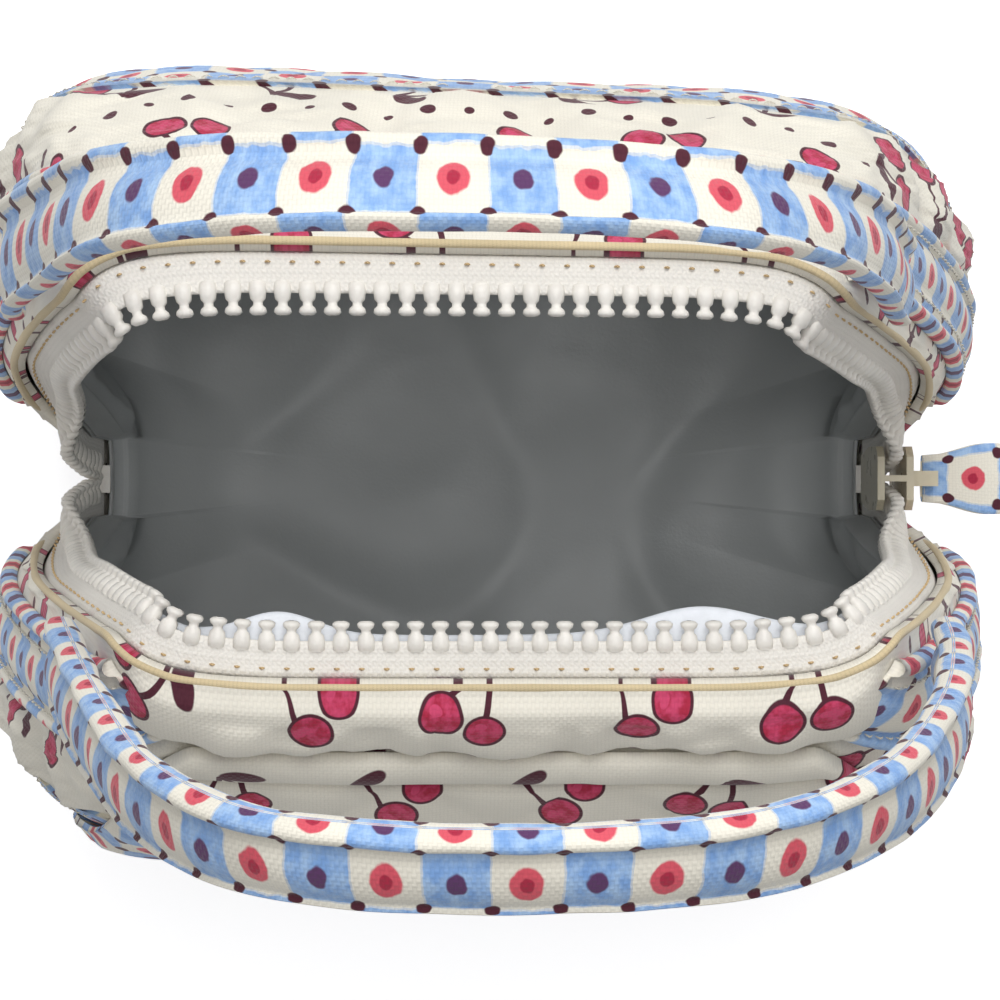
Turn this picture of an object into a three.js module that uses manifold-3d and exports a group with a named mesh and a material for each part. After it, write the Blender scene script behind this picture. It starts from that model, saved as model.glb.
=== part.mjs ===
// Insulated tote bag, standing open on its base. Millimetres, +Z up, +Y towards the back, slider on +X.
import * as THREE from 'three';
import { mergeVertices } from 'three/addons/utils/BufferGeometryUtils.js';
import Module from 'manifold-3d';

const wasm = await Module();
wasm.setup();

// Driving dimensions of the body
const bodyHeight = 196;
const bellyHeight = 118;
const bellyHalfWidth = 92;
const bellyHalfDepth = 73;
const mouthHalfWidth = 66;
const mouthHalfDepth = 39;
const frontFullness = 0.92;
const footWidthShare = 0.9;
const footDepthShare = 0.86;
const footRadius = 4;
const pinchDepth = 10.5;
const pinchHalfWidth = 18;
const mouthShift = 4;
const shiftSpan = 14;
const backSlant = 0.055;
const slantStart = 8;
const slantEnd = 50;

// Side openings: a V down to the slider, then a narrow slit
const notchBottom = 46;
const slitBottom = 28;
const slitHalfWidth = 7.5;
const notchTopHalfWidth = 30;
const notchFillet = 9;

// Contrast base band
const bandHeight = 148;
const bandSideHeight = 19;

// Layers of the wall, from the outside in
const gap = 0.3;
const quilt = 2.4;
const foam = 3;
const lining = 0.8;
const board = 2;

// Zip: tape, bead and teeth reach from the rim into the mouth
const tapeThickness = 0.8;
const tapeTuck = 0.2;
const mouthReachExtra = 2;
const mouthReachStart = 10;
const mouthReachEnd = 80;
const rollEnd = 45;
const straightEnd = 30;
const toothPitch = 4.2;
const toothLength = 2.2;
const toothTip = 1.2;
const toothThickness = 2.6;
const beadWidth = 1.2;
const interlock = 0.35;
const tapeRoll = 45;
const seamAllowance = 5;

// Straps, handles and pocket
const strapWidth = 20;
const strapThickness = 2.2;
const strapFromZip = 5;
const strapLift = 0.8;
const strapBottomRise = 20;
const strapTopDrop = 5;
const handleWidth = 17.4;
const handleThickness = 4.2;
const handleWall = 0.9;
const backHandleHeight = 283;
const frontHandleHeight = 300;
const handlePivotDrop = 6;
const handleOutset = 15.2;
const handleInset = 6.7;
const backLean = 5.9;
const frontLean = 15.2;
const legHeights = [0, 0.14, 0.4, 0.74, 0.93];
const backLegs = { left: [1, 0.985, 0.885, 0.72, 0.44], right: [1, 0.97, 0.92, 0.76, 0.51] };
const frontLegs = { left: [1, 0.96, 0.87, 0.7, 0.47], right: [1, 1, 0.945, 0.76, 0.49] };
const handleTilt = -38;
const pocketTopDrop = 14;
const pocketCornerDrop = 26;
const pocketStandOff = 6.8;
const pocketHem = 7;
const pocketFoot = 20;
const pocketShare = 0.84;

// Slider and pull
const sliderWidth = 12.4;
const sliderLength = 20;
const plate = 1.4;
const plateGap = 4.3;
const crownReach = 5.6;
const crownLength = 11;
const crownWidth = 3;
const pullRing = 6.6;
const pullLength = 20;
const pullWidth = 14;
const pullThickness = 2.6;
const pullDroop = 18;

// Sizes that follow from the ones above
const foamGap = 1.6;
const liningGap = 2.1;
const foamDepth = quilt + foamGap;
const liningDepth = foamDepth + foam + liningGap;
const tapeDepth = quilt + gap * 1.6 + tapeThickness / 2;
const slitTape = slitHalfWidth + interlock - gap - beadWidth - toothLength;
const boardLow = quilt + gap;
const foamBaseLow = boardLow + board + gap;
const liningFloor = foamBaseLow + foam + gap;
const innerFloor = liningFloor + 2;
const plateDepth = quilt + 1.5;
const seam = gap * 2;
const pocketLiftAtSeam = 0.8;
const slitShares = [0.06, 0.3, 0.55, 0.8];
const sliderLow = notchBottom - 1;
const sliderHigh = sliderLow + sliderLength;
const stopHeight = 2;
const stopHalf = slitHalfWidth - slitTape - gap * 2;
const stopDepth = toothThickness + 0.6;
const stopClear = 3.8;
const pivotHeight = bodyHeight - handlePivotDrop;
const pocketTop = bodyHeight - pocketTopDrop;
const dividerHalf = 0.6;
const dividerLength = 1.6;
const ringHalf = crownWidth / 2 + 2;
const strapRows = 12;
const strapShares = [0, 0.2, 0.4, 0.6, 0.8, 1];
const handleSteps = 28;
const endRadius = 8.5;
const endSteps = [0.97, 0.8, 0.45];
const endNarrow = endRadius * 2 / handleWidth;

// Colours
const printCream = 0xf0ebdc;
const trimBlue = 0x8fb8e8;
const zipWhite = 0xf2eee6;
const ivory = 0xd0c6ac;
const liningGrey = 0x6a6c6b;

const bag = new THREE.Group();

function addPiece(name, geometry, color, roughness) {
  const material = new THREE.MeshStandardMaterial({ color, roughness, metalness: 0 });
  const mesh = new THREE.Mesh(geometry, material);
  mesh.name = name;
  bag.add(mesh);
  return mesh;
}

// Small helpers for numbers and points
const clamp01 = (value) => Math.min(1, Math.max(0, value));
const smooth = (from, to, value) => {
  const share = clamp01((value - from) / (to - from));
  return share * share * (3 - 2 * share);
};
const mix = (a, b, share) => a + (b - a) * share;
const point = (x, y, z) => new THREE.Vector3(x, y, z);

// The body is a stack of superellipses: these give each height's half width, half depth and squareness
function halfWidthAt(z) {
  const top = bodyHeight;
  const widest = bellyHeight * 0.6;
  if (z >= widest) {
    const share = (top - z) / (top - widest);
    return mouthHalfWidth + (bellyHalfWidth - mouthHalfWidth) * (1 - Math.pow(1 - share, 1.5));
  }
  const drop = (widest - z) / widest;
  return bellyHalfWidth * (1 - (1 - footWidthShare) * drop * drop * drop);
}

function halfDepthAt(z) {
  if (z >= bellyHeight) {
    const share = (bodyHeight - z) / (bodyHeight - bellyHeight);
    return mouthHalfDepth + (bellyHalfDepth - mouthHalfDepth) * (1 - (1 - share) * (1 - share));
  }
  const drop = (bellyHeight - z) / bellyHeight;
  return bellyHalfDepth * (1 - (1 - footDepthShare) * drop * drop * drop);
}

const squarenessAt = (z) => mix(6.6, 7, smooth(bellyHeight, bodyHeight, z));

// Where a column's ray meets the section, as shares of the half width and the half depth
const columnPower = 1.6;
function sectionShares(angle, z) {
  const across = Math.pow(Math.cos(angle), 1 / columnPower);
  const deep = Math.pow(Math.sin(angle), 1 / columnPower);
  const power = squarenessAt(z);
  const reach = Math.pow(Math.pow(across, power) + Math.pow(deep, power), -1 / power);
  return [across * reach, deep * reach];
}

// The angle of the column that meets the section at a share of its half depth
function angleOfDepth(share, z) {
  const power = squarenessAt(z);
  const across = Math.pow(1 - Math.pow(share, power), 1 / power);
  return Math.atan2(Math.pow(share, columnPower), Math.pow(across, columnPower));
}

// The sides are pinched in where the zip ends
function pinchAt(y, z) {
  const fade = 1 - smooth(notchBottom, bodyHeight, z);
  return pinchDepth * fade * Math.exp(-((y / pinchHalfWidth) ** 4));
}

// The foot's rounded edge draws the outline in near the floor
function footInset(z) {
  if (z >= footRadius) return 0;
  const rise = footRadius - z;
  return footRadius - Math.sqrt(footRadius * footRadius - rise * rise);
}

// A point of the wall before the bag's own slant is added.
// The angle runs from the side centre (0) to the back centre (90).
function wallPoint(angle, z, side) {
  const inset = footInset(z);
  const [across, deep] = sectionShares(angle, z);
  const y = (halfDepthAt(z) - inset) * deep;
  const x = (halfWidthAt(z) - inset) * across;
  return point(side * (x - pinchAt(y, z)), y, z);
}

// Half the width of the side opening at a height, with a rounded corner where it meets the straight top
function notchHalfWidthAt(z) {
  const share = clamp01((z - notchBottom) / (bodyHeight - notchBottom));
  const straight = mix(slitHalfWidth, notchTopHalfWidth, share);
  const intoFillet = Math.max(0, z - (bodyHeight - notchFillet));
  const rounded = notchFillet - Math.sqrt(Math.max(0, notchFillet * notchFillet - intoFillet * intoFillet));
  return straight + rounded * 0.8;
}

// The mouth of a soft bag is never square:
// the back edge sits to the left and slants, the front edge sits to the right.
function slanted(p) {
  const front = p.y < 0;
  const upper = smooth(notchBottom, bodyHeight, p.z);
  const shifted = p.x - mouthShift * Math.tanh(p.y / shiftSpan) * upper;
  const slant = front ? 0 : backSlant * (p.x / bellyHalfWidth) * smooth(slantStart, slantEnd, p.y);
  return point(shifted, p.y * (1 - slant) * (front ? frontFullness : 1), p.z);
}

// Columns of the wall, as shares of the half depth on the side part and of the half width on the back part
const slitShare = slitHalfWidth / bellyHalfDepth;
const nearSlit = [0.96, 1.06, 1.46, 1.95].map((share) => slitShare * share);
const sideShares = [0, ...nearSlit, 0.27, 0.36, 0.46, 0.56, 0.66, 0.76, 0.85, 0.92];
const backShares = [0.8, 0.62, 0.42, 0.21, 0];
const quarterAngles = [
  ...sideShares.map((share) => angleOfDepth(share, 0)),
  ...backShares.map((share) => Math.PI / 2 - angleOfDepth(share, 0)),
];

// Where a column ends at the mouth, or that much short of it when layers stop before the rim
function rimHeight(angle, clear) {
  const widthAt = (z) => halfDepthAt(z) * sectionShares(angle, z)[1];
  const inside = (z) => widthAt(z) > notchHalfWidthAt(z) + clear;
  if (widthAt(notchBottom) < slitHalfWidth + clear) return slitBottom - clear;
  const top = bodyHeight - clear;
  if (inside(top)) return top;
  let low = notchBottom;
  let high = top;
  for (let step = 0; step < 40; step += 1) {
    const middle = (low + high) / 2;
    if (inside(middle)) low = middle;
    else high = middle;
  }
  return low;
}

// Each column: side (+1 right, -1 left), half (+1 back, -1 front), rim and band heights
const columns = [];
function addColumn(angle, side, half) {
  const share = Math.pow(Math.sin(angle), 1 / columnPower);
  const rim = rimHeight(angle, 0);
  const foamRim = rimHeight(angle, seamAllowance);
  const band = mix(bandSideHeight, bandHeight, smooth(0.4, 0.92, share));
  columns.push({ angle, side, half, rim, foamRim, band, share });
}
const lastQuarter = quarterAngles.length - 1;
for (let k = 0; k <= lastQuarter; k += 1) addColumn(quarterAngles[k], -1, 1);
for (let k = lastQuarter - 1; k >= 0; k -= 1) addColumn(quarterAngles[k], 1, 1);
for (let k = 1; k <= lastQuarter; k += 1) addColumn(quarterAngles[k], 1, -1);
for (let k = lastQuarter - 1; k >= 1; k -= 1) addColumn(quarterAngles[k], -1, -1);
const columnCount = columns.length;
const halfCount = 2 * lastQuarter;

// Rows above the band edge, and below it for the outside and for the layers within
const upperShares = [1, 0.9, 0.75, 0.55, 0.3, 0];
const lowerShares = [0.72, 0.45, 0.22];
const footHeights = [2, 0.5, 0];

function upperHeights(column) {
  return upperShares.map((share) => mix(column.band, column.rim, share));
}
function foamHeights(column) {
  const upper = upperShares.map((share) => mix(column.band, column.foamRim, share));
  return [...upper, ...lowerShares.map((share) => mix(innerFloor, column.band, share)), innerFloor];
}
function innerHeights(column) {
  return [...upperHeights(column), ...lowerShares.map((share) => mix(innerFloor, column.band, share))];
}

// The band edge is steep in places: its seam is opened there so that it keeps the same width across
function seamDrop(index) {
  const here = columns[index];
  const place = (column) => {
    const spot = wallPoint(column.angle, column.band, column.side);
    spot.y *= column.half;
    return spot;
  };
  let slope = 0;
  for (const turn of [1, columnCount - 1]) {
    const other = columns[(index + turn) % columnCount];
    const a = place(here);
    const b = place(other);
    slope = Math.max(slope, Math.abs(here.band - other.band) / Math.hypot(b.x - a.x, b.y - a.y));
  }
  return gap * Math.hypot(1, slope) * 1.3;
}

// The wall's outward normal, from two small steps along it
function wallNormal(column, z) {
  const step = 0.002;
  const low = Math.max(0.0005, column.angle - step);
  const high = Math.min(Math.PI / 2 - 0.0005, column.angle + step);
  const across = wallPoint(high, z, column.side).sub(wallPoint(low, z, column.side));
  const zStep = 0.5;
  const zLow = Math.max(0, z - zStep);
  const up = wallPoint(column.angle, Math.min(bodyHeight, zLow + 2 * zStep), column.side)
    .sub(wallPoint(column.angle, zLow, column.side));
  const normal = across.cross(up).normalize();
  if (normal.x * column.side + normal.y < 0) normal.negate();
  if (column.angle < 0.001) normal.y = 0;
  if (column.angle > Math.PI / 2 - 0.001) normal.x = 0;
  return normal.normalize();
}

// A point of a layer: the wall moved inwards by depth, on the column's own half of the bag
function layerPoint(column, z, depth) {
  const base = wallPoint(column.angle, z, column.side);
  base.addScaledVector(wallNormal(column, z), -depth);
  base.z = Math.max(base.z, 0);
  if (column.angle < 0.001) base.y = 0;
  base.y *= column.half;
  return base;
}

// The bottom edge of a layer, on a flat floor of its own
function footPoint(column, depth, floor) {
  const base = wallPoint(column.angle, 0, column.side);
  const normal = wallNormal(column, footRadius);
  normal.z = 0;
  normal.normalize();
  base.addScaledVector(normal, -depth);
  base.z = floor;
  if (column.angle < 0.001) base.y = 0;
  base.y *= column.half;
  return base;
}

// Turns a list of points and triangles into a geometry whose faces point out
function solid(points, triangles) {
  const warped = points.map(slanted);
  let volume = 0;
  for (const [a, b, c] of triangles) volume += warped[a].dot(warped[b].clone().cross(warped[c]));
  const order = volume < 0 ? triangles.map(([a, b, c]) => [a, c, b]) : triangles;
  const geometry = new THREE.BufferGeometry();
  const values = warped.flatMap((p) => [p.x, p.y, p.z]);
  geometry.setAttribute('position', new THREE.Float32BufferAttribute(values, 3));
  geometry.setIndex(order.flat());
  geometry.computeVertexNormals();
  return geometry;
}

// A body made of section loops, one after another: closed round a ring, or capped at both ends.
// The cap of a flat loop joins its first half, which runs out, to its second half, which runs back.
function loft(loops, closed) {
  const size = loops[0].length;
  const points = loops.flat();
  const triangles = [];
  const spans = closed ? loops.length : loops.length - 1;
  for (let i = 0; i < spans; i += 1) {
    const here = i * size;
    const next = ((i + 1) % loops.length) * size;
    for (let k = 0; k < size; k += 1) {
      const l = (k + 1) % size;
      triangles.push([here + k, here + l, next + l], [here + k, next + l, next + k]);
    }
  }
  if (!closed) {
    const end = (loops.length - 1) * size;
    for (let k = 0; k < size / 2 - 1; k += 1) {
      const back = size - 1 - k;
      triangles.push([k, back, k + 1], [k + 1, back, back - 1]);
      triangles.push([end + k, end + k + 1, end + back], [end + k + 1, end + back - 1, end + back]);
    }
  }
  return solid(points, triangles);
}

// A sheet of the wall between two depths: columns from..to, rows picked from each column's heights
function sheetLoop(column, heights, outerDepth, innerDepth) {
  const out = heights.map((z) => layerPoint(column, z, outerDepth));
  const back = heights.map((z) => layerPoint(column, z, innerDepth)).reverse();
  return [...out, ...back];
}

// A tub: outer and inner grids joined at the rim, each closed by a flat floor
function tub(outer, inner, outerFloor, innerFloorHeight) {
  const rows = outer[0].length;
  const innerRows = inner[0].length;
  const points = [...outer.flat(), ...inner.flat(), point(0, 0, outerFloor), point(0, 0, innerFloorHeight)];
  const innerStart = outer.length * rows;
  const outerCentre = innerStart + inner.length * innerRows;
  const innerCentre = outerCentre + 1;
  const triangles = [];
  for (let i = 0; i < outer.length; i += 1) {
    const j = (i + 1) % outer.length;
    for (let r = 0; r < rows - 1; r += 1) {
      const a = i * rows + r;
      const b = j * rows + r;
      triangles.push([a, a + 1, b + 1], [a, b + 1, b]);
    }
    for (let r = 0; r < innerRows - 1; r += 1) {
      const a = innerStart + i * innerRows + r;
      const b = innerStart + j * innerRows + r;
      triangles.push([a, b + 1, a + 1], [a, b, b + 1]);
    }
    const outerTop = [i * rows, j * rows];
    const innerTop = [innerStart + i * innerRows, innerStart + j * innerRows];
    triangles.push([outerTop[0], outerTop[1], innerTop[1]], [outerTop[0], innerTop[1], innerTop[0]]);
    triangles.push([i * rows + rows - 1, outerCentre, j * rows + rows - 1]);
    triangles.push([innerTop[0] + innerRows - 1, innerTop[1] + innerRows - 1, innerCentre]);
  }
  return solid(points, triangles);
}

// Outer panels, back and front, with the gap of a seam between them under each slit
const backColumns = columns.slice(0, halfCount + 1);
const frontColumns = [...columns.slice(halfCount), columns[0]].map((column) => ({ ...column, half: -1 }));

function panel(panelColumns) {
  const loops = panelColumns.map((column) => {
    const loop = sheetLoop(column, upperHeights(column), 0, quilt);
    if (column.angle < 0.001) loop.forEach((p) => { p.y = column.half * gap / 2; });
    return loop;
  });
  return loft(loops, false);
}
addPiece('back_outer_panel', panel(backColumns), printCream, 0.85);
addPiece('front_outer_panel', panel(frontColumns), printCream, 0.85);

// Base boot in contrast fabric: lower wall and bottom in one
function bootHeights(column, index) {
  const top = column.band - seamDrop(index);
  return [top, ...lowerShares.map((share) => mix(footRadius + 1, top, share)), footRadius];
}
const bootOuter = columns.map((column, index) => [
  ...bootHeights(column, index).map((z) => layerPoint(column, z, 0)),
  ...footHeights.map((z) => layerPoint(column, z, 0)),
]);
const bootInner = columns.map((column, index) => [
  ...bootHeights(column, index).map((z) => layerPoint(column, z, quilt)),
  footPoint(column, quilt, quilt),
]);
addPiece('base_boot', tub(bootOuter, bootInner, 0, quilt), trimBlue, 0.85);

// Flat plates inside the bottom
function floorPlate(depth, low, high) {
  const ring = (z) => columns.map((column) => footPoint(column, depth, z));
  const count = columnCount;
  const points = [...ring(low), ...ring(high), point(0, 0, low), point(0, 0, high)];
  const triangles = [];
  for (let i = 0; i < count; i += 1) {
    const j = (i + 1) % count;
    triangles.push([i, j, count + j], [i, count + j, count + i]);
    triangles.push([i, 2 * count, j], [count + i, count + j, 2 * count + 1]);
  }
  return solid(points, triangles);
}
addPiece('base_board', floorPlate(plateDepth, boardLow, boardLow + board), 0x8a7a62, 0.9);
addPiece('base_foam', floorPlate(plateDepth, foamBaseLow, foamBaseLow + foam), 0xe6e6e2, 0.95);

// Foam walls stand on the base foam and stop short of the zip
function foamWall(panelColumns) {
  const loops = panelColumns.map((column) => {
    const loop = sheetLoop(column, foamHeights(column), foamDepth, foamDepth + foam);
    if (column.angle < 0.001) loop.forEach((p) => { p.y = column.half * gap / 2; });
    return loop;
  });
  return loft(loops, false);
}
addPiece('back_foam_wall', foamWall(backColumns), 0xe6e6e2, 0.95);
addPiece('front_foam_wall', foamWall(frontColumns), 0xe6e6e2, 0.95);

// Lining tub
const liningOuter = columns.map((column) => [
  ...innerHeights(column).map((z) => layerPoint(column, z, liningDepth)),
  footPoint(column, liningDepth, liningFloor),
]);
const liningInner = columns.map((column) => [
  ...innerHeights(column).map((z) => layerPoint(column, z, liningDepth + lining)),
  footPoint(column, liningDepth + lining, liningFloor + lining),
]);
addPiece('lining', tub(liningOuter, liningInner, liningFloor, liningFloor + lining), liningGrey, 0.45);

// Frames along the rim of one half: place, outward normal, and the direction into the opening
function rimFrames(panelColumns) {
  const rim = panelColumns.slice(1, -1).map((column) => ({
    place: layerPoint(column, column.rim, tapeDepth),
    normal: wallNormal(column, column.rim),
  }));
  rim.forEach((frame) => { frame.normal.y *= panelColumns[1].half; });
  const last = rim.length - 1;
  const between = (from, to, share) => ({
    place: from.place.clone().lerp(to.place, share),
    normal: from.normal.clone().lerp(to.normal, share).normalize(),
  });
  const frames = [
    ...slitShares.map((share) => between(rim[0], rim[1], share)),
    ...rim.slice(1, last),
    ...[...slitShares].reverse().map((share) => between(rim[last], rim[last - 1], share)),
  ];
  const inward = frames.map((frame, i) => {
    const before = frames[Math.max(0, i - 1)].place;
    const after = frames[Math.min(frames.length - 1, i + 1)].place;
    const along = after.clone().sub(before).normalize();
    const into = frame.normal.clone().cross(along);
    if (i <= slitShares.length || i >= frames.length - 1 - slitShares.length) into.set(0, -1, 0);
    if (into.z < 0 && Math.abs(into.y) < 0.5) into.negate();
    if (Math.abs(into.y) >= 0.5 && into.y * panelColumns[1].half > 0) into.negate();
    return into.addScaledVector(frame.normal, -into.dot(frame.normal)).normalize();
  });
  return frames.map((frame, i) => {
    const height = frame.place.z;
    const straight = 1 - smooth(sliderHigh, sliderHigh + straightEnd, height);
    frame.normal.lerp(point(Math.sign(frame.place.x), 0, 0), straight).normalize();
    inward[i].lerp(point(0, -panelColumns[1].half, 0), straight);
    inward[i].addScaledVector(frame.normal, -inward[i].dot(frame.normal)).normalize();
    const roll = THREE.MathUtils.degToRad(tapeRoll) * smooth(sliderHigh, sliderHigh + rollEnd, height);
    const into = inward[i];
    const reach = into.clone().multiplyScalar(Math.cos(roll)).addScaledVector(frame.normal, -Math.sin(roll));
    const face = frame.normal.clone().multiplyScalar(Math.cos(roll)).addScaledVector(into, Math.sin(roll));
    const wider = smooth(notchBottom + mouthReachStart, notchBottom + mouthReachEnd, height);
    const tape = slitTape + mouthReachExtra * wider;
    return { place: frame.place, normal: frame.normal, into, reach, face, tape };
  });
}

function tapeLoop(frame) {
  const half = tapeThickness / 2;
  const at = (along, normal, distance, side) => frame.place.clone()
    .addScaledVector(along, distance).addScaledVector(normal, side * half);
  return [
    at(frame.into, frame.normal, -tapeTuck, 1),
    at(frame.reach, frame.face, 0, 1),
    at(frame.reach, frame.face, frame.tape, 1),
    at(frame.reach, frame.face, frame.tape, -1),
    at(frame.reach, frame.face, 0, -1),
    at(frame.into, frame.normal, -tapeTuck, -1),
  ];
}

// Teeth on a bead: the edge runs root, tip, tip, root once for every pitch
function toothRow(frames, phase) {
  const edge = frames.map((frame) => frame.place.clone().addScaledVector(frame.reach, frame.tape + gap));
  const lengths = [0];
  for (let i = 1; i < edge.length; i += 1) lengths.push(lengths[i - 1] + edge[i].distanceTo(edge[i - 1]));
  const total = lengths[lengths.length - 1];
  const count = Math.round((total - stopClear * 2) / toothPitch);
  const pitch = (total - stopClear * 2) / count;
  const frameAt = (distance) => {
    let i = 0;
    while (i < edge.length - 2 && lengths[i + 1] < distance) i += 1;
    const share = (distance - lengths[i]) / (lengths[i + 1] - lengths[i]);
    const place = edge[i].clone().lerp(edge[i + 1], share);
    const reach = frames[i].reach.clone().lerp(frames[i + 1].reach, share).normalize();
    const face = frames[i].face.clone().lerp(frames[i + 1].face, share).normalize();
    return { place, reach, face };
  };
  const section = (distance, width) => {
    const { place, reach, face } = frameAt(distance);
    const at = (across, side) => place.clone()
      .addScaledVector(reach, across).addScaledVector(face, side * toothThickness / 2);
    return [at(0, 1), at(width, 1), at(width, -1), at(0, -1)];
  };
  const loops = [];
  const teeth = phase ? count - 1 : count;
  for (let k = 0; k < teeth; k += 1) {
    const middle = stopClear + (k + 0.5 + phase) * pitch;
    loops.push(section(middle - pitch / 2, beadWidth));
    loops.push(section(middle - toothTip / 2, beadWidth + toothLength));
    loops.push(section(middle + toothTip / 2, beadWidth + toothLength));
  }
  loops.push(section(stopClear + (teeth + phase) * pitch, beadWidth));
  return loft(loops, false);
}

const backFrames = rimFrames(backColumns);
const frontFrames = rimFrames(frontColumns);
addPiece('back_zip_tape', loft(backFrames.map(tapeLoop), false), zipWhite, 0.8);
addPiece('front_zip_tape', loft(frontFrames.map(tapeLoop), false), zipWhite, 0.8);
addPiece('back_zip_teeth', toothRow(backFrames, 0), zipWhite, 0.4);
addPiece('front_zip_teeth', toothRow(frontFrames, 0.5), zipWhite, 0.4);

// A point on the wall by height and by arc length round the body from the side opening's edge
function fromNotch(z, arc, side) {
  const step = 0.004;
  const edge = notchHalfWidthAt(Math.min(z, bodyHeight - notchFillet));
  let angle = angleOfDepth(edge / halfDepthAt(z), z);
  let here = wallPoint(angle, z, side);
  let travelled = 0;
  while (angle + step < Math.PI / 2) {
    const next = wallPoint(angle + step, z, side);
    const length = next.distanceTo(here);
    if (travelled + length >= arc) break;
    travelled += length;
    angle += step;
    here = next;
  }
  return { angle: angle + step * (arc - travelled) / 2, side };
}

// Straps beside the zip
function strap(side, half) {
  const loops = [];
  for (let row = 0; row < strapRows; row += 1) {
    const z = mix(notchBottom + strapBottomRise, bodyHeight - strapTopDrop, row / (strapRows - 1));
    const loop = [];
    for (const share of strapShares) loop.push([share, strapLift + strapThickness]);
    for (const share of [...strapShares].reverse()) loop.push([share, strapLift]);
    loops.push(loop.map(([share, lift]) => {
      const spot = fromNotch(z, strapFromZip + strapWidth * share, side);
      return layerPoint({ angle: spot.angle, side, half }, z, -lift);
    }));
  }
  return loft(loops, false);
}
addPiece('back_right_strap', strap(1, 1), trimBlue, 0.85);
addPiece('back_left_strap', strap(-1, 1), trimBlue, 0.85);
addPiece('front_right_strap', strap(1, -1), trimBlue, 0.85);
addPiece('front_left_strap', strap(-1, -1), trimBlue, 0.85);

// Slip pocket on the front, in three strips that share the wall's columns
const pocketAcross = (column) => 1 - smooth(0.3, 0.7, Math.pow(Math.cos(column.angle), 1 / columnPower));
const pocketEdge = (column) => pocketTop - pocketCornerDrop * (1 - pocketAcross(column));
function pocketLift(column, z) {
  const up = smooth(pocketFoot, pocketEdge(column), z);
  return pocketLiftAtSeam + (pocketStandOff - pocketLiftAtSeam) * pocketAcross(column) * up;
}
function pocketStrip(topAt, bottomAt, shares, thickness) {
  const strip = frontColumns.filter((column) => column.share > pocketShare);
  const loops = strip.map((column) => {
    const heights = shares.map((share) => mix(bottomAt(column), topAt(column), share));
    const out = heights.map((z) => layerPoint(column, z, -pocketLift(column, z) - thickness));
    const back = heights.map((z) => layerPoint(column, z, -pocketLift(column, z))).reverse();
    return [...out, ...back];
  });
  return loft(loops, false);
}
const hemFoot = (column) => pocketEdge(column) - pocketHem;
const panelTop = (column) => hemFoot(column) - seam;
addPiece('pocket_hem', pocketStrip(pocketEdge, hemFoot, [1, 0.5, 0], quilt + 1), trimBlue, 0.85);
addPiece('pocket_panel', pocketStrip(panelTop, () => bandHeight, [1, 0.66, 0.33, 0], quilt), printCream, 0.85);
const bandTop = () => bandHeight - seam;
const bandFoot = () => pocketFoot;
addPiece('pocket_band', pocketStrip(bandTop, bandFoot, [1, 0.8, 0.55, 0.28, 0], quilt), trimBlue, 0.85);

// Handles: a flat padded sleeve that arches over, with open ends
// Each end leans on its strap: it is set out along X and in along Y from the strap's middle line
const strapSpot = fromNotch(pivotHeight, strapFromZip + strapWidth / 2, 1);
const strapMiddle = wallPoint(strapSpot.angle, pivotHeight, 1);
const handleHalfSpan = strapMiddle.x + handleOutset;
const handlePivotY = strapMiddle.y - handleInset;
function handleFrames(half, top, lean, legs) {
  const leanAngle = THREE.MathUtils.degToRad(lean);
  const rise = (top - pivotHeight) / Math.cos(leanAngle);
  const place = (x, share) => point(
    x,
    half * (handlePivotY + rise * share * Math.sin(leanAngle)),
    pivotHeight + rise * share * Math.cos(leanAngle),
  );
  const leg = (spans, sign) => spans.map((span, k) => place(sign * handleHalfSpan * span, legHeights[k]));
  const spine = new THREE.CatmullRomCurve3([
    ...leg(legs.left, -1),
    place(0, 1),
    ...leg(legs.right, 1).reverse(),
  ], false, 'centripetal');
  const frames = [];
  for (let i = 0; i <= handleSteps; i += 1) {
    const share = i / handleSteps;
    const along = spine.getTangentAt(share);
    const arch = smooth(0, 0.32, Math.min(share, 1 - share));
    const tilt = THREE.MathUtils.degToRad(handleTilt) * arch;
    const across = point(0, Math.cos(tilt), half * Math.sin(tilt));
    across.addScaledVector(along, -across.dot(along)).normalize();
    const face = along.clone().cross(across).normalize();
    const narrow = mix(endNarrow, 1, smooth(0, 0.1, Math.min(share, 1 - share)));
    frames.push({ place: spine.getPointAt(share), across, face, narrow, thin: narrow });
  }
  const rounded = (frame) => endSteps.map((step) => ({
    ...frame,
    place: frame.place.clone().add(point(0, 0, -endRadius * step)),
    narrow: endNarrow * Math.sqrt(1 - step * step),
  }));
  return [...rounded(frames[0]), ...frames, ...rounded(frames[handleSteps]).reverse()];
}
function flatLoop(frame, fullWidth, fullThickness) {
  const width = fullWidth * frame.narrow;
  const thickness = fullThickness * frame.thin;
  const edge = Math.min(thickness, width) * 0.32;
  const corners = [
    [-width / 2 + edge, thickness / 2], [width / 2 - edge, thickness / 2], [width / 2, 0],
    [width / 2 - edge, -thickness / 2], [-width / 2 + edge, -thickness / 2], [-width / 2, 0],
  ];
  return corners.map(([u, v]) => frame.place.clone()
    .addScaledVector(frame.across, u).addScaledVector(frame.face, v));
}

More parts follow.
